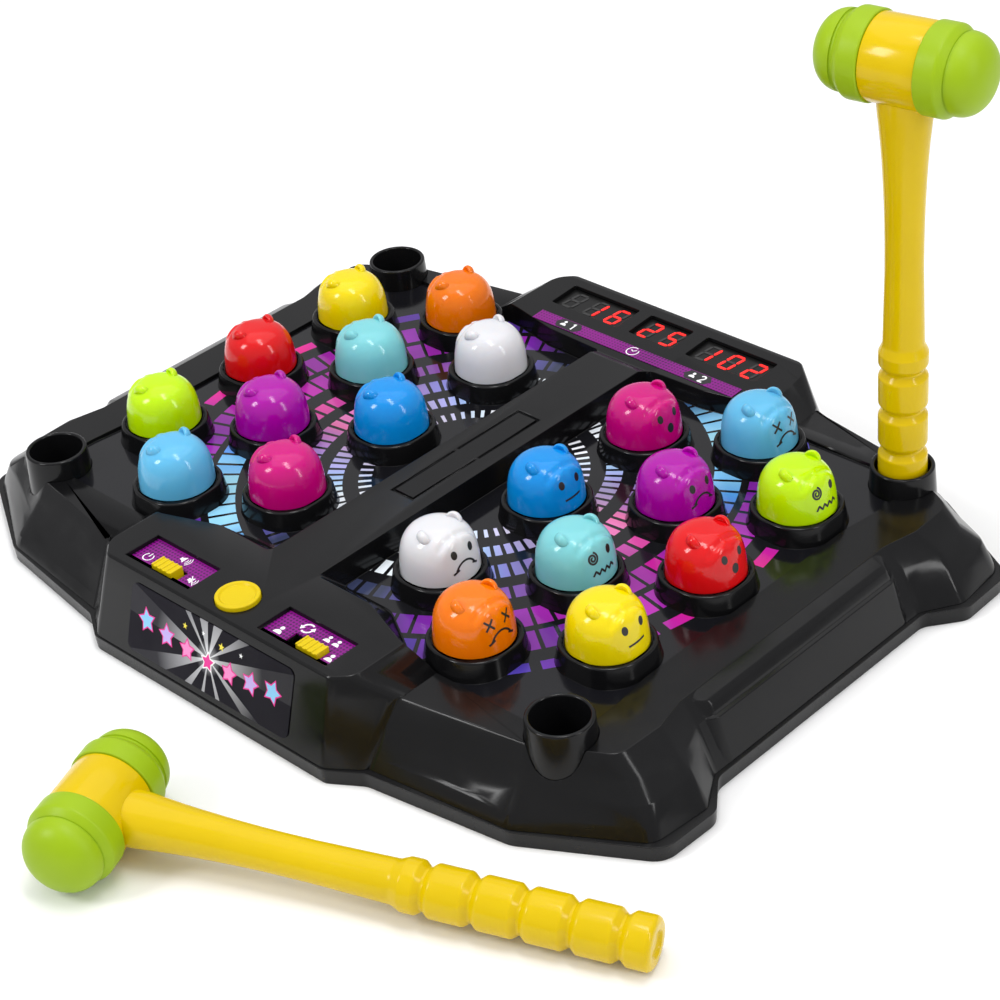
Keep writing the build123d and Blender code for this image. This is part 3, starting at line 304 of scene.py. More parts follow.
def playfield_material():
    """Printed film: rings of tiles whose colours run round the middle of the board."""
    finish = Finish("playfield_print")
    do = finish.maths
    x, y, _ = finish.parts_of_place()
    y = do("SUBTRACT", y, tile_rings_middle_y * mm)
    radius = do("SQRT", do("ADD", do("MULTIPLY", x, x), do("MULTIPLY", y, y)))
    angle = do("ARCTAN2", y, x)
    from_axis = do("ARCTAN2", do("ABSOLUTE", y), do("ABSOLUTE", x))
    turned_away = finish.ranged(from_axis, 0.0, 1.0, *map(math.radians, turned_angles))
    quarter = do("MAXIMUM", do("SINE", do("MULTIPLY", angle, 2.0)), 0.0)
    sums = None
    for number, (middle, width, count, fill, along_axis, towards_side, in_quarter) in enumerate(tile_rings):
        from_middle = do("ABSOLUTE", do("SUBTRACT", radius, middle * mm))
        in_ring = do("LESS_THAN", from_middle, width / 2 * mm)
        turns = do("MULTIPLY", angle, count / (2 * math.pi))
        tile = do("FLOOR", turns)
        from_tile_middle = do("ABSOLUTE", do("SUBTRACT", do("SUBTRACT", turns, tile), 0.5))
        in_tile = do("MULTIPLY", in_ring, do("LESS_THAN", from_tile_middle, fill / 2))
        place_on_ramp = do("ADD", do("MULTIPLY", turned_away, towards_side), along_axis)
        place_on_ramp = do("ADD", place_on_ramp, do("MULTIPLY", quarter, in_quarter))
        own = [in_tile] + [do("MULTIPLY", in_ring, value) for value in (place_on_ramp, float(number), tile)]
        sums = own if sums is None else [do("ADD", total, value) for total, value in zip(sums, own)]
    lit, shade, ring_number, tile_number = sums
    spot = finish.add("ShaderNodeCombineXYZ", {"X": ring_number, "Y": tile_number}, "Vector")
    chance = finish.add("ShaderNodeTexWhiteNoise", {"Vector": spot}, "Value", noise_dimensions="2D")
    shade = do("ADD", shade, finish.ranged(chance, -tile_spread, tile_spread, 0.0, 1.0))
    pale = finish.ramp(do("DIVIDE", ring_number, 10.0), pale_shares)
    colour = finish.mixed(pale, finish.ramp(shade, tile_colours), pale_colour)
    in_slate = do("MULTIPLY", do("GREATER_THAN", ring_number, slate_rings[0] - 0.5),
                  do("LESS_THAN", ring_number, slate_rings[1] + 0.5))
    slate = do("MULTIPLY", in_slate, finish.ranged(from_axis, 0.0, 0.9, *map(math.radians, slate_angles)))
    colour = finish.mixed(slate, colour, slate_colour)
    level = do("MULTIPLY", lit, finish.ranged(chance, 0.88, 1.0, 0.0, 1.0))
    finish.skin(finish.mixed(level, film_colour, colour), finish.noise(40.0, 4.0), 0.07, 0.15, 0.4)
    finish.bump(finish.noise(300.0), 0.05)
    return finish.made


def dotted_print(name, colour, dot_colour, pitch, dot_share):
    """Printed plate: rows of small dark dots that fade in and out."""
    finish = Finish(name)
    do = finish.maths
    offsets = []
    for value in finish.parts_of_place()[:2]:
        part = do("SUBTRACT", do("FRACT", do("DIVIDE", value, pitch * mm)), 0.5)
        offsets.append(do("MULTIPLY", part, part))
    fade = finish.ranged(finish.noise(35.0, 1.0), dot_share * 0.5, dot_share)
    dot = do("LESS_THAN", do("SQRT", do("ADD", *offsets)), fade)
    finish.skin(finish.mixed(dot, colour, dot_colour), finish.noise(90.0, 3.0), 0.28, 0.4, 0.28)
    finish.bump(finish.noise(700.0), 0.06)
    return finish.made


label_rays = 11
ray_widths = (0.2, 0.62)
ray_reach = (6.0, 36.0)
ray_core = 8.0


def label_material(middle):
    """Dark print with grey rays that spread from one point and fade."""
    finish = Finish("label_print")
    do = finish.maths
    x, _, z = finish.parts_of_place()
    across = do("SUBTRACT", x, middle[0] * mm)
    upward = do("SUBTRACT", z, middle[1] * mm)
    radius = do("SQRT", do("ADD", do("MULTIPLY", across, across), do("MULTIPLY", upward, upward)))
    turns = do("MULTIPLY", do("DIVIDE", do("ARCTAN2", upward, across), 2 * math.pi), label_rays)
    chance = finish.add("ShaderNodeTexWhiteNoise", {"W": do("FLOOR", turns)}, "Value", noise_dimensions="1D")
    in_ray = do("LESS_THAN", do("FRACT", turns), finish.ranged(chance, *ray_widths, 0.0, 1.0))
    fade = finish.ranged(radius, 0.62, 0.03, ray_reach[0] * mm, ray_reach[1] * mm)
    core = finish.ranged(radius, 0.5, 0.0, 0.0, ray_core * mm)
    light = do("ADD", do("MULTIPLY", in_ray, fade), core)
    colour = finish.mixed(light, (0.006, 0.005, 0.010), (0.80, 0.80, 0.84))
    finish.skin(colour, finish.noise(60.0, 3.0), 0.42, 0.55, 0.1)
    finish.bump(finish.noise(500.0), 0.05)
    return finish.made


def glowing(name, colour, glow):
    """A lit segment: coloured plastic with light behind it, brighter in some patches than in others."""
    finish = Finish(name)
    cloud = finish.noise(500.0)
    finish.give({
        "Base Color": finish.mixed(cloud, scaled(colour, 0.85), colour),
        "Emission Strength": finish.ranged(cloud, glow * 0.85, glow * 1.1),
        "Emission Color": colour,
        "Roughness": 0.35,
    })
    return finish.made


black = moulded("housing_black", (0.0055, 0.0055, 0.006), 0.17, shade=0.12, spread=0.045, grain=700.0,
                bump=0.05, bump_height=0.015, specular=0.23)
tray_black = moulded("tray_black", (0.008, 0.008, 0.0085), 0.28, shade=0.12, grain=500.0, bump=0.08,
                     specular=0.24)
hammer_yellow = moulded("hammer_yellow", (0.66, 0.46, 0.0), 0.16, shade=0.03, grain=300.0,
                        bump=0.04, specular=0.24, scatter=0.05)
hammer_lime = moulded("hammer_lime", (0.29, 0.44, 0.003), 0.42, shade=0.04, spread=0.06, grain=800.0,
                      bump=0.12, specular=0.26, scatter=0.06)
control_yellow = moulded("control_yellow", (0.66, 0.49, 0.0), 0.38, shade=0.03, grain=800.0,
                         bump=0.1, specular=0.22, scatter=0.05)
ink = moulded("face_ink", (0.012, 0.011, 0.011), 0.4, shade=0.15, grain=1500.0, bump=0.1)
black_ink = moulded("black_print", (0.010, 0.010, 0.012), 0.4, shade=0.1, grain=1500.0, bump=0.06)
inks = {}
for name, colour in (
    ("white", (0.88, 0.88, 0.9)), ("yellow", (0.86, 0.72, 0.05)), ("cyan", (0.24, 0.58, 0.90)),
    ("lilac", (0.52, 0.40, 0.82)), ("pink", (0.84, 0.24, 0.56)), ("magenta", (0.78, 0.006, 0.28)),
):
    inks[name] = moulded(f"{name}_print", colour, 0.4, shade=0.03, grain=1500.0, bump=0.06)
purple_print = dotted_print("plate_purple", (0.22, 0.003, 0.21), (0.06, 0.001, 0.07), 1.9, 0.40)
playfield_print = playfield_material()
segment_red = glowing("segment_red", (0.92, 0.01, 0.008), 0.9)
segment_dark = moulded("segment_dark", (0.022, 0.022, 0.022), 0.45, shade=0.1)
module_black = moulded("module_black", (0.004, 0.004, 0.004), 0.3, shade=0.1, specular=0.3)
board_green = moulded("board_green", (0.03, 0.16, 0.06), 0.4, shade=0.2, grain=250.0, bump=0.3)
dome_rubber = moulded("dome_rubber", (0.32, 0.32, 0.30), 0.6, shade=0.08, specular=0.3)
foot_rubber = moulded("foot_rubber", (0.018, 0.018, 0.018), 0.75, shade=0.2, grain=400.0, bump=0.4,
                      specular=0.25)
screw_steel = metal("screw_steel", (0.62, 0.62, 0.60), 0.3)
contact_steel = metal("contact_steel", (0.72, 0.70, 0.66), 0.25)
cell_steel = metal("cell_steel", (0.60, 0.61, 0.63), 0.3)
speaker_steel = metal("speaker_steel", (0.35, 0.35, 0.36), 0.4)
lamp_clear = moulded("lamp_clear", (0.75, 0.78, 0.8), 0.12, shade=0.03, specular=0.6)

mole_colours = {
    "white": (0.66, 0.655, 0.68),
    "blue": (0.002, 0.25, 0.68),
    "magenta": (0.54, 0.001, 0.18),
    "orange": (0.82, 0.17, 0.0),
    "teal": (0.19, 0.56, 0.60),
    "purple": (0.38, 0.001, 0.34),
    "sky_blue": (0.11, 0.44, 0.70),
    "yellow": (0.80, 0.62, 0.0),
    "red": (0.66, 0.004, 0.006),
    "lime": (0.48, 0.76, 0.0),
}
mole_materials = {
    colour: moulded(f"mole_{colour}", value, 0.14, shade=0.025, spread=0.03, grain=260.0,
                    bump=0.03, specular=0.34, coat=0.08, scatter=0.20, scatter_radius=5.0)
    for colour, value in mole_colours.items()
}


# Mesh helpers

def linked(name, data):
    """A new object in the scene."""
    made = bpy.data.objects.new(name, data)
    bpy.context.scene.collection.objects.link(made)
    return made


def smoothed(mesh, sharp):
    """Shades a mesh smooth, with edges over an angle kept crisp."""
    mesh.polygons.foreach_set("use_smooth", [True] * len(mesh.polygons))
    mesh.set_sharp_from_angle(angle=math.radians(sharp))


def add_piece(name, vertices, faces, materials, body, slot, replaced=(), face_materials=None, sharp=40.0):
    """A mesh object from points in millimetres, riding on its body."""
    mesh = bpy.data.meshes.new(name)
    mesh.from_pydata([Vector(point) * mm for point in vertices], [], faces)
    for made in materials:
        mesh.materials.append(made)
    if face_materials:
        mesh.polygons.foreach_set("material_index", face_materials)
    mesh.validate()
    shaped = bmesh.new()
    shaped.from_mesh(mesh)
    bmesh.ops.recalc_face_normals(shaped, faces=shaped.faces)
    shaped.to_mesh(mesh)
    shaped.free()
    smoothed(mesh, sharp)
    piece = linked(name, mesh)
    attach(piece, body)
    if replaced:
        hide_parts(*replaced)


def skinned(rings, closed=False):
    """Faces between rings of equal point counts. A ring of one point closes an end."""
    vertices = []
    numbered = []
    for ring in rings:
        numbered.append(range(len(vertices), len(vertices) + len(ring)))
        vertices += ring
    if closed:
        numbered.append(numbered[0])
    faces = []
    for low, high in zip(numbered, numbered[1:]):
        steps = max(len(low), len(high))
        for step in range(steps):
            after = (step + 1) % steps
            corners = (low, step), (low, after), (high, after), (high, step)
            faces.append(tuple(dict.fromkeys(ring[index % len(ring)] for ring, index in corners)))
    return vertices, faces


def oval(half_x, half_y, height, power, steps=round_steps):
    """A closed ring at one height, an ellipse at power 2 and squarer above it."""
    points = []
    for step in range(steps):
        turn = 2 * math.pi * step / steps
        across, up = math.cos(turn), math.sin(turn)
        points.append((half_x * math.copysign(abs(across) ** (2 / power), across),
                       half_y * math.copysign(abs(up) ** (2 / power), up), height))
    return points


def circle(radius, height, steps=round_steps):
    """A round ring, or one point on the axis."""
    return oval(radius, radius, height, 2.0, steps) if radius else [(0.0, 0.0, height)]


def softened(points, radii, steps=5):
    """A line of (radius, height) corners with an arc at each corner that has a radius."""
    result = []
    for index, (point, radius) in enumerate(zip(points, radii)):
        if not radius or index in (0, len(points) - 1):
            result.append(point)
            continue
        here = Vector(point)
        before = (Vector(points[index - 1]) - here)
        after = (Vector(points[index + 1]) - here)
        turn = before.angle(after)
        reach = min(radius / math.tan(turn / 2), before.length * 0.49, after.length * 0.49)
        bow = reach * math.tan(turn / 2)
        start = here + before.normalized() * reach
        end = here + after.normalized() * reach
        centre = here + (before.normalized() + after.normalized()).normalized() * math.hypot(reach, bow)
        first = start - centre
        sweep = math.pi - turn
        side = 1 if first.x * (end - centre).y - first.y * (end - centre).x > 0 else -1
        for step in range(steps + 1):
            angle = side * sweep * step / steps
            result.append((centre.x + first.x * math.cos(angle) - first.y * math.sin(angle),
                           centre.y + first.x * math.sin(angle) + first.y * math.cos(angle)))
    return result


def turned(profile, steps=round_steps):
    """Rings of a profile of (radius, height) points turned about Z."""
    return [circle(radius, height, steps) for radius, height in profile]


def lathed(profile):
    """A mesh turned finely about Z."""
    return skinned(turned(profile, fine_steps))


def moved(vertices, matrix):
    return [tuple(matrix @ Vector(point)) for point in vertices]


def joined(parts):
    """One list of points and faces from several, with the material number of each face."""
    vertices = []
    faces = []
    numbers = []
    for part_vertices, part_faces, number in parts:
        start = len(vertices)
        vertices += part_vertices
        faces += [tuple(start + index for index in face) for face in part_faces]
        numbers += [number] * len(part_faces)
    return vertices, faces, numbers


def node_middle(*names):
    """The middle of the box round some nodes, in millimetres."""
    low = [min(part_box(name)[0][axis] for name in names) for axis in range(3)]
    high = [max(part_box(name)[1][axis] for name in names) for axis in range(3)]
    return [(a + b) / 2 / mm for a, b in zip(low, high)]


def spun(degrees, axis):
    return Matrix.Rotation(math.radians(degrees), 4, axis)


def over(node, turn=0.0):
    """Carries a shape from the middle of the board to that of a node, at its own height."""
    x, y, _ = node_middle(node)
    return Matrix.Translation((x, y, 0)) @ spun(turn, "Z")


# Flat ink shapes. Each has a kind, its (across, up) points, and the width of a line or the middle of a blob

def arc(middle, radius_across, radius_up, start, end, steps=18):
    """Points of an arc from a start to an end in degrees."""
    points = []
    for step in range(steps + 1):
        turn = math.radians(start + (end - start) * step / steps)
        points.append((middle[0] + radius_across * math.cos(turn), middle[1] + radius_up * math.sin(turn)))
    return points


def resampled(points, step=0.5):
    """The same line with points no further apart than a step."""
    result = [points[0]]
    for first, second in zip(points, points[1:]):
        span = Vector(second) - Vector(first)
        count = max(1, math.ceil(span.length / step))
        result += [tuple(Vector(first) + span * index / count) for index in range(1, count + 1)]
    return result


def round_blob(middle, radius_across, radius_up):
    return "blob", arc(middle, radius_across, radius_up, 0, 340, 17), middle


def cornered_blob(corners, middle=(0.0, 0.0), step=0.5):
    return "blob", resampled(corners + corners[:1], step)[:-1], middle


def inked_line(points, place, width=ink_width):
    """A raised stroke: place(across, up, raised) gives the point on or under the surface."""
    points = resampled(points)
    rings = []
    for index, point in enumerate(points):
        before = Vector(points[max(index - 1, 0)])
        after = Vector(points[min(index + 1, len(points) - 1)])
        along = (after - before).normalized()
        side = Vector((-along.y, along.x)) * width / 2
        left, right = Vector(point) + side, Vector(point) - side
        rings.append([place(*left, True), place(*right, True), place(*right, False), place(*left, False)])
    vertices, faces = skinned(rings)
    last = len(vertices) - 4
    faces += [(3, 2, 1, 0), (last, last + 1, last + 2, last + 3)]
    return vertices, faces


def inked_blob(outline, place, middle):
    """A raised spot inside a closed outline round a middle."""
    rings = [[place(*middle, True)]]
    for share, raised in ((0.34, True), (0.67, True), (1.0, True), (1.0, False)):
        ring = []
        for across, up in outline:
            across = middle[0] + (across - middle[0]) * share
            up = middle[1] + (up - middle[1]) * share
            ring.append(place(across, up, raised))
        rings.append(ring)
    rings.append([place(*middle, False)])
    return skinned(rings)


def inked(shapes, place, number=0):
    """The parts of an inked picture, all with one material number."""
    parts = []
    for kind, points, *extra in shapes:
        raise_shape = inked_line if kind == "line" else inked_blob
        parts.append((*raise_shape(points, place, *extra), number))
    return parts


# Moles

# Folds and brows over the face. For each: two ends on the side of positive y, width and height
mole_folds = [((11.0, 9.6), (11.0, 1.8), 1.3, -0.85), ((13.4, 9.4), (13.6, 2.6), 1.5, 0.75)]


def bell(distance, size):
    return math.exp(-(distance / size) ** 2)


def segment_distance(x, y, first, second):
    """How far a point lies from a straight line between two ends."""
    ax, ay = first
    bx, by = second
    span = (bx - ax) ** 2 + (by - ay) ** 2
    along = max(0.0, min(1.0, ((x - ax) * (bx - ax) + (y - ay) * (by - ay)) / span))
    return math.hypot(x - ax - (bx - ax) * along, y - ay - (by - ay) * along)


def mole_point(angle, climb, inset=0.0):
    """A point of the dome: climb runs from 0 at the lip to 1 at the crown."""
    turn = climb * math.pi / 2
    radius = (mole_radius - inset) * math.cos(turn) ** (2 / mole_squareness) if climb < 1 else 0.0
    height = (mole_height - inset) * math.sin(turn) ** (2 / mole_squareness) if climb > 0 else 0.0
    radius *= 1 - mole_taper_share * height / mole_height
    x = radius * math.cos(angle)
    y = radius * math.sin(angle)
    if inset:
        return x, y, height
    lift = 0.0
    for side in (-1, 1):
        for first, second, width, rise in mole_folds:
            ends = (first[0], side * first[1]), (second[0], side * second[1])
            lift += rise * bell(segment_distance(x, y, *ends), width)
    lift += crown_swell * math.sin(turn) ** 2 * bell(math.hypot(x - crown_swell_x, y * 0.8), crown_swell_size)
    lean = Vector((x, y, mole_height * 0.9)).normalized()
    x, y, height = x + lean.x * lift * 0.5, y + lean.y * lift * 0.5, height + lean.z * lift
    if x > 0:
        x -= face_depth * bell(height - face_height, face_reach_up) * bell(y, face_reach_across)
    return x, y, height


def mole_ring(climb, inset=0.0):
    """A ring of the dome round its axis, or its crown as one point."""
    steps = mole_around if climb < 1 else 1
    points = [mole_point(2 * math.pi * index / steps, climb, inset) for index in range(steps)]
    return [(x, y, collar_lip_height + height) for x, y, height in points]


def mole_rings():
    """From the crown down outside to the flange, and up inside to the crown."""
    outer = [mole_ring((step / mole_up) ** 1.25) for step in range(mole_up, -1, -1)]
    below = [
        (mole_radius, mole_flange_top), (mole_flange_radius, mole_flange_top),
        (mole_flange_radius, mole_flange_bottom), (mole_radius - mole_wall, mole_flange_bottom),
    ]
    inner = [mole_ring(step / mole_up_inside, mole_wall) for step in range(mole_up_inside + 1)]
    return outer + turned(below, mole_around) + inner


def ear_mesh(side):
    """A thick round flap along the side of the crown, dished where it faces up and inwards."""
    upright = Vector((-0.05, side * 0.34, 0.94)).normalized()
    front = Vector((0.30, -side * 0.90, 0.30))
    front = (front - upright * front.dot(upright)).normalized()
    across = upright.cross(front)
    middle = Vector((ear_forward, side * ear_spread, collar_lip_height + ear_middle_height))
    sections = [
        (0.0, -2.6), (0.40, -2.5), (0.68, -2.1), (0.87, -1.3), (0.97, -0.3), (1.0, 0.6), (0.97, 1.3),
        (0.88, 1.75), (0.78, 1.75), (0.68, 1.45), (0.50, 1.8 - ear_dish), (0.25, 1.65 - ear_dish),
        (0.0, 1.6 - ear_dish),
    ]
    rings = []
    for share, forward in sections:
        ring = []
        for step in range(ear_around if share else 1):
            turn = 2 * math.pi * step / ear_around
            ring.append(tuple(middle + across * (ear_half_width * share * math.cos(turn))
                              + upright * (ear_half_height * share * math.sin(turn)) + front * forward))
        rings.append(ring)
    return skinned(rings)


mole_vertices, mole_faces = skinned(mole_rings())
mole_tree = BVHTree.FromPolygons([Vector(point) for point in mole_vertices], mole_faces)


def on_mole(across, up, raised):
    """The point on the face side of the mole that is across and up from the middle of its lip."""
    start = Vector((40.0, across, collar_lip_height + up))
    hit, normal, _, _ = mole_tree.ray_cast(start, Vector((-1, 0, 0)))
    if normal.x < 0:
        normal = -normal
    return tuple(hit + normal * (ink_height if raised else -ink_depth))


def dot_eye(side):
    return [round_blob((side * eye_spread, eye_height), 1.55, 2.05)]


def cross_eye(side):
    middle = side * eye_spread
    strokes = []
    for lean in (-2.1, 2.1):
        strokes.append(("line", [(middle - lean, eye_height - 2.3), (middle + lean, eye_height + 2.3)]))
    return strokes


def spiral_eye(side):
    points = []
    for step in range(spiral_steps + 1):
        turn = 2 * math.pi * spiral_turns * step / spiral_steps + 1.2
        radius = 0.35 + 2.35 * step / spiral_steps
        points.append((side * eye_spread + radius * math.cos(turn),
                       eye_height - 0.4 + radius * 1.12 * math.sin(turn)))
    return [("line", points)]


def frown():
    """A bow with a short stroke across each end."""
    bow = arc((0.0, 2.4), 6.4, 7.2, 152, 28)
    strokes = [("line", bow)]
    for (x, y), lean in ((bow[0], 25), (bow[-1], -25)):
        across = 1.8 * math.cos(math.radians(lean))
        up = 1.8 * math.sin(math.radians(lean))
        strokes.append(("line", [(x - across, y - up), (x + across, y + up)]))
    return strokes


dot_eyes = dot_eye(-1) + dot_eye(1)
sad = dot_eyes + frown()
calm = dot_eyes + [("line", [(-4.8, 6.3), (4.8, 6.9)])]
surprised = dot_eyes + [round_blob((0.0, 8.0), 2.0, 2.4)]
knocked_out = cross_eye(-1) + cross_eye(1) + frown()
zigzag = [(-6.4 + 12.8 * step / 8, 6.2 + (1.15 if step % 2 else -0.95)) for step in range(9)]
dizzy = spiral_eye(-1) + dot_eye(1) + [("line", zigzag)]
mole_looks = [sad, calm, surprised, knocked_out, dizzy, sad, knocked_out, calm, surprised, dizzy]
colours_by_side = {
    "right": ["white", "blue", "magenta", "orange", "teal", "purple", "sky_blue", "yellow", "red", "lime"],
    "left": ["magenta", "blue", "white", "sky_blue", "purple", "teal", "orange", "lime", "red", "yellow"],
}
bare_mole = [(mole_vertices, mole_faces, 0), (*ear_mesh(-1), 0), (*ear_mesh(1), 0)]
for side_name, turn in (("right", 0.0), ("left", 180.0)):
    for number, (colour, look) in enumerate(zip(colours_by_side[side_name], mole_looks), start=1):
        node = f"mole_{side_name}_{number:02d}"
        vertices, faces, numbers = joined(bare_mole + inked(look, on_mole, 1))
        add_piece(f"{node}_shell", moved(vertices, over(node, turn)), faces, [mole_materials[colour], ink],
                  node, f"mole_{colour}", (node,), numbers)


# Hammers

# Shaft below the barrel. For each: distance from the head's middle, half widths and squareness
shaft_sections = [
    (76.0, 8.95, 8.9, 2.0), (66.0, 9.2, 9.15, 2.02), (56.0, 9.6, 9.5, 2.05), (46.0, 10.1, 9.85, 2.1),
    (37.0, 10.8, 10.2, 2.15), (29.0, 11.6, 10.6, 2.2), (24.0, 12.1, 10.9, 2.25), (18.0, 12.5, 11.2, 2.3),
    (10.0, 12.7, 11.3, 2.3),
]


def handle_mesh():
    """Grooved grip, shaft and flare up to the barrel, then the barrel across it."""
    end = -hammer_length + grip_end_clearance
    profile = [(0.0, end + 1.2), (5.2, end + 1.2), (6.2, end), (grip_radius, end)]
    radii = [0.0, 0.6, 0.6, 2.5]
    bed_half = grip_groove_half * 0.6
    for index in range(grip_groove_count):
        at = end + grip_end_length + index * grip_pitch
        profile += [(grip_radius, at - grip_slope_half), (grip_groove_radius, at - bed_half),
                    (grip_groove_radius, at + bed_half), (grip_radius, at + grip_slope_half)]
        radii += [2.2, 0.8, 0.8, 2.2]
    bead_top = end + grip_end_length + (grip_groove_count - 1) * grip_pitch + neck_bead_length
    profile += [(grip_radius, bead_top - 4.4), (neck_radius, bead_top), (waist_radius, -waist_distance),
                (waist_radius, -86.0)]
    radii += [2.4, 6.0, 60.0, 0.0]
    rings = turned(softened(profile, radii))
    for distance, half_x, half_y, power in shaft_sections:
        rings.append(oval(half_x, half_y, -distance, power))
    rings.append([(0.0, 0.0, -shaft_sections[-1][0])])
    half = barrel_half_length
    barrel_profile = [(0.0, -half), (barrel_radius, -half), (barrel_radius, half), (0.0, half)]
    vertices, faces = lathed(softened(barrel_profile, [0.0, 0.5, 0.5, 0.0], 3))
    barrel = (moved(vertices, spun(90, "Y")), faces, 0)
    return joined([(*skinned(rings), 0), barrel])[:2]


def cap_mesh(side):
    """A soft cap over one end of the barrel: a band, a groove and a dome."""
    start = barrel_half_length
    band_end = start + cap_band_length
    dome_start = band_end + cap_groove_width
    dome_end = dome_start + cap_dome_length
    profile = [
        (0.0, start + 0.05), (cap_radius, start + 0.05), (cap_radius, band_end - 3.4),
        (cap_groove_radius + 0.5, band_end), (cap_groove_radius, band_end + 0.1),
        (cap_groove_radius, dome_start), (cap_dome_radius, dome_start + 0.3),
    ]
    profile = softened(profile, [0.0, 0.7, 3.0, 0.8, 0.3, 0.3, 0.0])
    for step in range(1, cap_dome_steps):
        turn = math.pi / 2 * step / cap_dome_steps
        profile.append((cap_dome_radius * math.cos(turn) ** (2 / 2.35),
                        dome_start + 0.3 + (dome_end - dome_start - 0.3) * math.sin(turn) ** (2 / 2.1)))
    profile.append((0.0, dome_end))
    vertices, faces = lathed(profile)
    return moved(vertices, spun(90 * side, "Y")), faces


# How far the lying hammer's axis leans down to the end of its grip
grip_reach = hammer_length - 2.5
hammer_lean = math.asin(cap_radius / math.hypot(grip_reach, grip_radius))
hammer_lean -= math.atan2(grip_radius, grip_reach)
hammer_turns = {
    "standing": spun(standing_turn, "Z"),
    "lying": spun(lying_turn - 90, "Z") @ spun(90 - math.degrees(hammer_lean), "X"),
}
hammer_parts = [
    ("handle", handle_mesh(), hammer_yellow, "hammer_yellow"),
    ("cap_a", cap_mesh(-1), hammer_lime, "hammer_lime"),
    ("cap_b", cap_mesh(1), hammer_lime, "hammer_lime"),
]
for hammer_name, turn in hammer_turns.items():
    body = f"{hammer_name}_hammer"
    matrix = Matrix.Translation(node_middle(f"{body}_cap_a", f"{body}_cap_b")) @ turn
    for part_name, (vertices, faces), made, slot in hammer_parts:
        node = f"{body}_{part_name}"
        add_piece(f"{node}_shell", moved(vertices, matrix), faces, [made], body, slot, (node,))


# Cups

cup_profile = [
    (cup_bore_radius, cup_tail_height), (cup_bore_radius, cup_height), (cup_radius, cup_height),
    (cup_foot_radius, cup_foot_height), (cup_tail_radius, cup_foot_height),
    (cup_tail_radius, cup_tail_height), (cup_bore_radius, cup_tail_height),
]
cup_vertices, cup_faces = lathed(softened(cup_profile, [0.0, 0.9, 1.0, 0.2, 0.2, 0.2, 0.0]))
for cup_name in ("front_left", "front_right", "rear_left", "rear_right"):
    node = f"hammer_cup_{cup_name}"
    add_piece(f"{node}_shell", moved(cup_vertices, over(node)), cup_faces, [black], "board", "housing_black",
              (node,))


# CAD nodes with their open edges rounded. Lengths in millimetres, angles in degrees

weld_distance = 0.002
flat_angle = 0.6
clear_step = 0.05
ease_angle = 22.0
smooth_angle = 30.0
ease_share = 0.47


def eased_copy(node, body, made, width, segments=2):
    """A copy of a CAD node with the sharp edges that lie open rounded. It stands for the node."""
    shaped = bmesh.new()
    shaped.from_mesh(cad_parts[node].data)
    bmesh.ops.remove_doubles(shaped, verts=shaped.verts, dist=weld_distance * mm)
    bmesh.ops.dissolve_limit(shaped, angle_limit=math.radians(flat_angle), verts=shaped.verts,
                             edges=shaped.edges)
    tree = BVHTree.FromBMesh(shaped)
    weight = shaped.edges.layers.float.new("bevel_weight_edge")
    chosen = set()
    for edge in shaped.edges:
        if len(edge.link_faces) != 2 or edge.calc_face_angle(0.0) < math.radians(ease_angle):
            continue
        middle = (edge.verts[0].co + edge.verts[1].co) / 2
        outward = (edge.link_faces[0].normal + edge.link_faces[1].normal).normalized()
        if tree.ray_cast(middle + outward * clear_step * mm, outward)[0] is None:
            chosen.add(edge)
    for edge in chosen:
        near = {other for vertex in edge.verts for other in vertex.link_edges} - chosen
        room = min([2 * width * mm] + [other.calc_length() for other in near])
        edge[weight] = min(1.0, ease_share * room / (width * mm))
    mesh = bpy.data.meshes.new(f"{node}_eased")
    shaped.to_mesh(mesh)
    shaped.free()
    mesh.materials.clear()
    mesh.materials.append(made)
    smoothed(mesh, smooth_angle)
    piece = linked(f"{node}_eased", mesh)
    easing = piece.modifiers.new("easing", "BEVEL")
    easing.limit_method = "WEIGHT"
    easing.width = width * mm
    easing.segments = segments
    easing.use_clamp_overlap = False
    easing.miter_outer = "MITER_ARC"
    easing.harden_normals = True
    evaluated = piece.evaluated_get(bpy.context.evaluated_depsgraph_get())
    piece.data = bpy.data.meshes.new_from_object(evaluated)
    piece.modifiers.clear()
    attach(piece, body)
    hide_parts(node)


eased_copy("upper_housing", "board", black, 0.4)
eased_copy("lower_housing", "board", tray_black, 0.4)
eased_copy("battery_door", "board", tray_black, 0.3)
eased_copy("sound_knob", "sound_knob", control_yellow, 0.35, 3)
eased_copy("mode_knob", "mode_knob", control_yellow, 0.35, 3)


# Ledge along each player's side: the wall stands steeper up to a bead, steps in there and rounds
# over to the rim. Both lines give the distance from the board's middle and the height.

wall_line = [(212.9, 8.0), (210.3, 13.5), (206.1, 22.4), (203.0, 29.0), (195.3, 37.1), (194.4, 38.0)]
ledge_line = [(212.95, 8.2), (206.3, 28.6), (204.5, 29.1), (204.1, 30.5), (202.0, 35.0), (193.8, 38.03)]
ledge_radii = [0.0, 0.7, 0.3, 0.5, 5.0, 0.0]
ledge_half = 60.0
ledge_run = 7.5
ledge_tuck = 0.5
ledge_depth = 1.5
ledge_crown = 0.03
ledge_steps = 8


def wall_at(height):
    """How far the wall at a player's side stands out at a height."""
    for (low_out, low), (high_out, high) in zip(wall_line, wall_line[1:]):
        if height <= high:
            return low_out + (high_out - low_out) * (max(height, low) - low) / (high - low)
    return wall_line[-1][0]


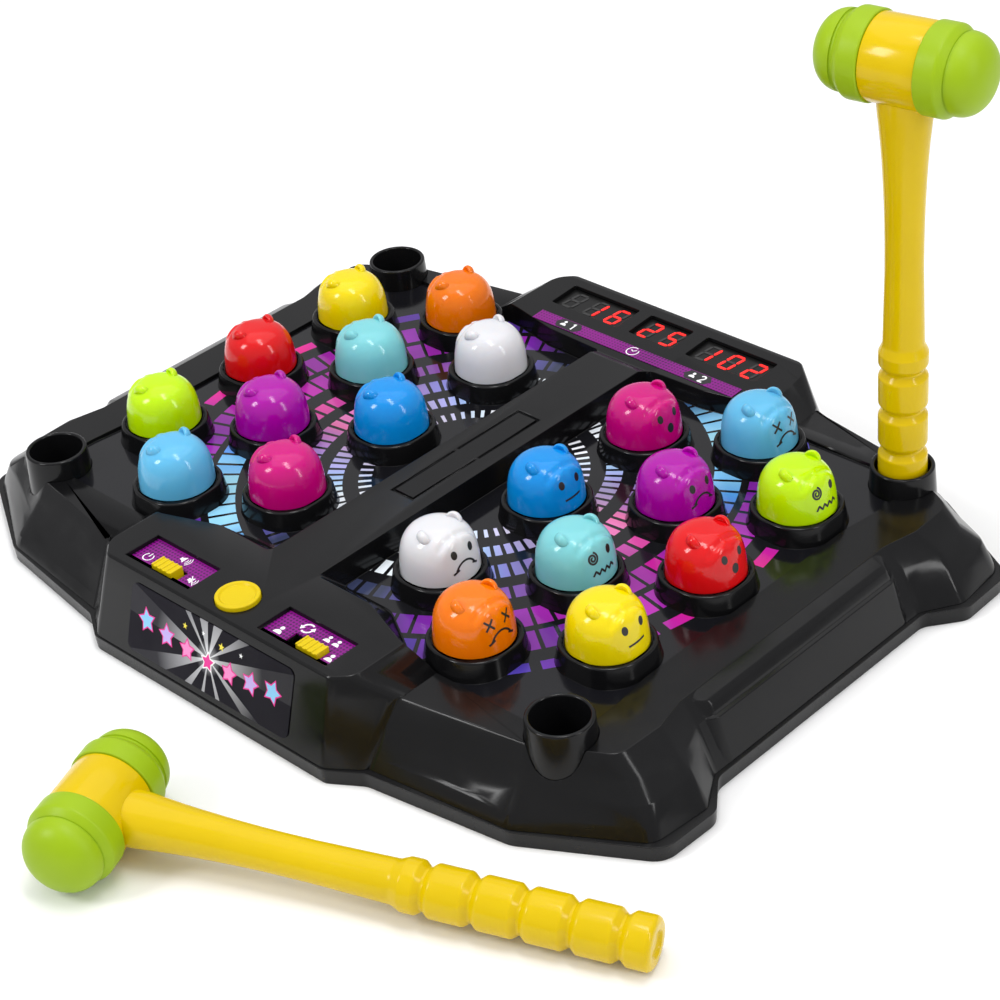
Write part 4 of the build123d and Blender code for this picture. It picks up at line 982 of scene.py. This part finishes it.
def ledge_ring(y, share, side):
    """One cross-section of the ledge, which comes out of the wall as its share grows."""
    top = wall_line[-1][1] - ledge_tuck * (1 - share) + ledge_crown * share
    outside = []
    for out, height in softened(ledge_line, ledge_radii):
        hidden = wall_at(height) - ledge_tuck
        outside.append((hidden + (out - hidden) * share, min(height, top)))
    inside = [(out - ledge_depth, max(height - ledge_depth, ledge_line[0][1]))
              for out, height in reversed(wall_line)]
    return [(side * out, y, height) for out, height in outside + inside]


for side, side_name in ((-1, "left"), (1, "right")):
    stations = []
    for step in range(ledge_steps + 1):
        part = step / ledge_steps
        stations.append((ledge_half + ledge_run * (1 - part), part * part * (3 - 2 * part)))
    rings = [ledge_ring(-y, share, side) for y, share in stations]
    rings += [ledge_ring(y, share, side) for y, share in reversed(stations)]
    caps = []
    for ring in (rings[0], rings[-1]):
        caps.append([tuple(sum(point[axis] for point in ring) / len(ring) for axis in range(3))])
    vertices, faces = skinned([caps[0], *rings, caps[1]])
    add_piece(f"side_ledge_{side_name}", vertices, faces, [black], "board", "housing_black", sharp=50.0)


# Collars round the moles

def rounded_square(half, corner, height, steps=14):
    """A closed rounded square ring at one height."""
    points = []
    for turn, (side_x, side_y) in enumerate(((1, 1), (-1, 1), (-1, -1), (1, -1))):
        for step in range(steps + 1):
            angle = math.radians(90 * turn + 90 * step / steps)
            points.append((side_x * (half - corner) + corner * math.cos(angle),
                           side_y * (half - corner) + corner * math.sin(angle), height))
    return points


def collar_rings():
    """Outside from the foot up over the rounded lip, then down the bore."""
    outside = [(collar_foot_half + 0.5, playfield_height - 0.4), (collar_foot_half, playfield_height + 0.5),
               (collar_lip_half, collar_lip_height), (collar_lip_half - 1.9, collar_lip_height)]
    inside = [(mole_radius + 1.1, collar_lip_height), (collar_bore_radius, collar_lip_height),
              (collar_bore_radius, playfield_height - 3.0)]
    rings = []
    for half, height in softened(outside, [0.0, 0.6, 1.2, 0.0], 6):
        share = (half - collar_lip_half) / (collar_foot_half - collar_lip_half)
        corner = collar_lip_corner + (collar_foot_corner - collar_lip_corner) * share
        rings.append(rounded_square(half, corner, height))
    for radius, height in softened(inside, [0.0, 0.45, 0.0], 4):
        rings.append(rounded_square(radius, radius * 0.999, height))
    return rings


collar_vertices, collar_faces = skinned(collar_rings(), closed=True)
for side_name in ("left", "right"):
    parts = []
    for number in range(1, 11):
        parts.append((moved(collar_vertices, over(f"mole_{side_name}_{number:02d}")), collar_faces, 0))
    vertices, faces, _ = joined(parts)
    add_piece(f"collars_{side_name}", vertices, faces, [black], "board", "housing_black", sharp=60.0)


# Start button, from its stem out over the flange and up to the dished top

button_profile = [
    (0.0, 40.3), (3.0, 40.3), (3.0, 44.9), (12.1, 44.9), (12.1, 46.3), (button_radius, 46.3),
    (button_radius, button_top), (button_radius - 1.7, button_top), (button_radius - 2.6, button_top - 0.9),
    (0.0, button_top - 0.75),
]
button_radii = [0.0, 0.3, 0.2, 0.2, 0.2, 0.2, 0.7, 0.5, 0.6, 0.0]
vertices, faces = lathed(softened(button_profile, button_radii))
add_piece("start_button_shell", moved(vertices, over("start_button")), faces, [control_yellow],
          "start_button", "control_yellow", ("start_button",))


# Printed signs on the plates, the display stripe and the front label

print_raise = 0.05
print_sink = 0.12
sign_width = 0.55
fine_sign_width = 0.5


def on_node(node, middle, from_front=False, layer=0):
    """Places across and up from a middle on the face of a carried node, met from above or from the front."""
    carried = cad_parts[node]
    points = [carried.matrix_world @ vertex.co / mm for vertex in carried.data.vertices]
    tree = BVHTree.FromPolygons(points, [list(face.vertices) for face in carried.data.polygons])

    def place(across, up, raised):
        if from_front:
            start, aim = Vector((middle[0] + across, -500.0, middle[1] + up)), Vector((0, 1, 0))
        else:
            start, aim = Vector((middle[0] + across, middle[1] + up, 500.0)), Vector((0, 0, -1))
        hit, normal, _, _ = tree.ray_cast(start, aim)
        if normal.dot(aim) > 0:
            normal = -normal
        return tuple(hit + normal * (print_raise * (1 + layer) if raised else -print_sink))
    return place


def sign(name, place, colour, *placed):
    """One printed sign from pictures, each with its place across and up."""
    shapes = []
    for picture, across, up in placed:
        for kind, points, *extra in picture:
            points = [(x + across, y + up) for x, y in points]
            if kind == "blob":
                extra = [(extra[0][0] + across, extra[0][1] + up)]
            shapes.append((kind, points, *extra))
    vertices, faces, _ = joined(inked(shapes, place))
    made = black_ink if colour == "black" else inks[colour]
    add_piece(name, vertices, faces, [made], "board", "label_print")


def power_sign(radius):
    ring = arc((0, 0), radius, radius, 125, 415, 28)
    return [("line", ring, sign_width), ("line", [(0, radius * 0.1), (0, radius * 1.15)], sign_width)]


def clock_sign(radius):
    ring = arc((0, 0), radius, radius, 70, 390, 28)
    hands = [(-radius * 0.45, radius * 0.3), (0, 0), (radius * 0.5, radius * 0.5)]
    return [("line", ring, sign_width), ("line", hands, fine_sign_width)]


def speaker_sign(waves):
    cone = [(-2.6, -0.9), (-1.6, -0.9), (0.2, -2.2), (0.2, 2.2), (-1.6, 0.9), (-2.6, 0.9)]
    shapes = [cornered_blob(cone, (-0.9, 0.0))]
    for wave in range(waves):
        radius = 1.6 + 1.1 * wave
        shapes.append(("line", arc((0.2, 0.0), radius, radius, -48, 48, 10), 0.4))
    return shapes


def crossed(shapes, size):
    return shapes + [("line", [(-size, size), (size, -size)], fine_sign_width)]


def pawn_sign(size):
    body = arc((0, -size), size, size * 1.1, 0, 180, 14)
    return [round_blob((0, size * 0.75), size * 0.5, size * 0.5), cornered_blob(body, (0, -size * 0.6))]


def turn_arrow(size, start):
    bow = arc((0, 0), size, size, start, start + 120, 14)
    tip = Vector(bow[-1])
    along = (tip - Vector(bow[-2])).normalized()
    side = Vector((-along.y, along.x))
    head = [tuple(tip + along * size * 0.75), tuple(tip + side * size * 0.5), tuple(tip - side * size * 0.5)]
    return [("line", bow, size * 0.32), cornered_blob(head, tuple(tip + along * size * 0.2))]


def number_sign(number, size):
    """The digit 1 or 2."""
    if number == 1:
        line = [(-size * 0.3, size * 0.6), (size * 0.12, size), (size * 0.12, -size)]
    else:
        line = arc((0, size * 0.45), size * 0.52, size * 0.52, 160, -35, 12)
        line += [(-size * 0.5, -size), (size * 0.6, -size)]
    return [("line", line, size * 0.36)]


def star(outer, inner, turn=90.0):
    """A star of five points."""
    outline = []
    for step in range(10):
        radius = inner if step % 2 else outer
        angle = math.radians(turn + 180 * step / 5)
        outline.append((radius * math.cos(angle), radius * math.sin(angle)))
    return [cornered_blob(outline, step=0.8)]


sign("sound_plate_signs", on_node("sound_plate", (0.0, 0.0)), "white", (power_sign(2.6), -60.6, -148.9),
     (speaker_sign(3), -44.8, -140.2), (crossed(speaker_sign(2), 2.6), -29.4, -148.9))
sign("mode_plate_signs", on_node("mode_plate", (0.0, 0.0)), "white", (pawn_sign(2.3), 30.6, -149.2),
     (turn_arrow(2.9, 60), 39.8, -140.8), (turn_arrow(2.9, 240), 39.8, -140.8),
     (pawn_sign(1.9), 52.8, -140.5), (pawn_sign(1.9), 58.4, -140.5), (pawn_sign(2.2), 63.4, -149.4))

stripe_y = 121.2
tag = [cornered_blob([(-8.6, 0), (-6.0, 3.7), (6.0, 3.7), (8.6, 0), (6.0, -3.7), (-6.0, -3.7)])]
on_stripe = on_node("display_stripe", (0.0, stripe_y))
on_tag = on_node("display_stripe", (0.0, stripe_y), layer=1)
for number, x in ((1, -45.0), (2, 42.0)):
    sign(f"player_tag_{number}", on_stripe, "black", (tag, x, 0.0))
    sign(f"player_mark_{number}", on_tag, "white", (pawn_sign(1.8), x - 3.2, 0.2),
         (number_sign(number, 2.5), x + 2.9, 0.0))
sign("time_mark", on_stripe, "white", (clock_sign(3.3), -1.0, 0.0))

# A row of stars across the front label, on rays that spread from its middle, and small sparks above it
label_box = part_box("front_label")
label_middle = node_middle("front_label")[::2]
label_half = (label_box[1][0] - label_box[0][0]) / 2 / mm
on_label = on_node("front_label", label_middle, from_front=True)
on_label_front = on_node("front_label", label_middle, from_front=True, layer=1)
star_radius = 5.2
star_waist = 0.52
star_outline = 0.7
star_rise = 3.2
for number, colour in enumerate(["cyan", "lilac", "pink", "magenta", "pink", "lilac", "cyan"], start=1):
    share = (number - 4) / 3
    size = star_radius * (1.0 - 0.22 * (1 - abs(share)))
    across, up = share * label_half * 0.78, star_rise * share * share - star_rise / 2
    turn = 90.0 - 14.0 * share
    edge = star(size + star_outline * 1.6, size * star_waist + star_outline, turn)
    edge_colour = "white" if colour == "magenta" else "magenta"
    sign(f"label_star_edge_{number}", on_label, edge_colour, (edge, across, up))
    sign(f"label_star_{number}", on_label_front, colour, (star(size, size * star_waist, turn), across, up))
sparks = [(-17.0, 9.0, 1.6), (-4.5, 10.2, 1.2), (8.0, 8.6, 2.0), (21.0, 9.6, 1.3)]
for number, (across, up, size) in enumerate(sparks, start=1):
    colour = "yellow" if number % 2 else "white"
    sign(f"label_spark_{number}", on_label, colour, (star(size, size * 0.42), across, up))


# Carried-over nodes and their finishes

finishes = [
    (cell_steel, "battery_cells"),
    (contact_steel, "battery_contacts"),
    (speaker_steel, "speaker", "slide_switches"),
    (screw_steel, "housing_screws", "board_screws"),
    (foot_rubber, "feet"),
    (board_green, "field_board_left", "field_board_right", "control_board", "display_board"),
    (dome_rubber, "return_domes"),
    (lamp_clear, "mole_lights"),
    (playfield_print, "playfield_left", "playfield_right"),
    (purple_print, "sound_plate", "mode_plate", "display_stripe"),
    (module_black, "digit_module_left", "digit_module_middle", "digit_module_right"),
    (segment_red, "digit_segments_lit"),
    (segment_dark, "digit_segments_unlit"),
    (label_material(label_middle), "front_label"),
]
for made, *nodes in finishes:
    for node in nodes:
        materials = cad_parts[node].data.materials
        materials.clear()
        materials.append(made)


# Stage, lights and camera

def area_light(name, place, aim, size, power):
    """A soft rectangular lamp, in metres and watts."""
    light = bpy.data.lights.new(name, "AREA")
    light.shape = "RECTANGLE"
    light.size, light.size_y = size
    light.energy = power
    lamp = linked(name, light)
    lamp.location = place
    lamp.rotation_euler = (Vector(aim) - Vector(place)).to_track_quat("-Z", "Y").to_euler()


floor_half = 12.0
floor_corners = [(x * floor_half, y * floor_half, 0.0) for x, y in ((-1, -1), (1, -1), (1, 1), (-1, 1))]
floor_mesh = bpy.data.meshes.new("floor")
floor_mesh.from_pydata(floor_corners, [], [(0, 1, 2, 3)])
floor_finish = Finish("floor_white")
floor_finish.give({
    "Base Color": floor_finish.mixed(floor_finish.noise(2.0), (0.90, 0.90, 0.90), (0.93, 0.93, 0.93)),
    "Roughness": 0.9,
    "Specular IOR Level": 0.1,
})
floor_mesh.materials.append(floor_finish.made)
floor = linked("floor", floor_mesh)

area_light("overhead_softbox", (-0.2, 0.4, 2.0), (0.0, 0.0, 0.0), (2.2, 2.2), 13.5)
area_light("window_key", (-0.55, -1.25, 1.25), (0.0, 0.0, 0.05), (0.35, 0.6), 10.0)
area_light("side_strip", (1.5, 0.2, 0.9), (0.0, 0.0, 0.05), (0.2, 1.2), 6.0)
area_light("top_strip", (0.25, -0.1, 1.6), (0.0, 0.0, 0.05), (0.22, 1.0), 7.0)

world = bpy.data.worlds.new("studio")
bpy.context.scene.world = world
world.use_nodes = True
sky = Graph(world.node_tree, "Generated")
sky_stops = [(0.0, (0.44, 0.44, 0.45)), (0.3, (0.64, 0.64, 0.65)), (1.0, (0.68, 0.68, 0.69))]
background = sky.nodes["Background"]
sky.feed(background.inputs["Color"], sky.ramp(sky.parts_of_place()[2], sky_stops))
background.inputs["Strength"].default_value = 1.0

facing = spun(camera_azimuth, "Z") @ spun(90 - camera_elevation, "X") @ spun(camera_roll, "Z")
camera_data = bpy.data.cameras.new("camera")
camera_data.sensor_width = sensor_width
camera_data.lens = camera_focal_pixels / picture_size * sensor_width
camera_data.clip_end = 50.0
camera = linked("camera", camera_data)
camera.matrix_world = Matrix.Translation(Vector(camera_place) * mm) @ facing
bpy.context.scene.camera = camera
bpy.context.scene.view_settings.view_transform = "Standard"
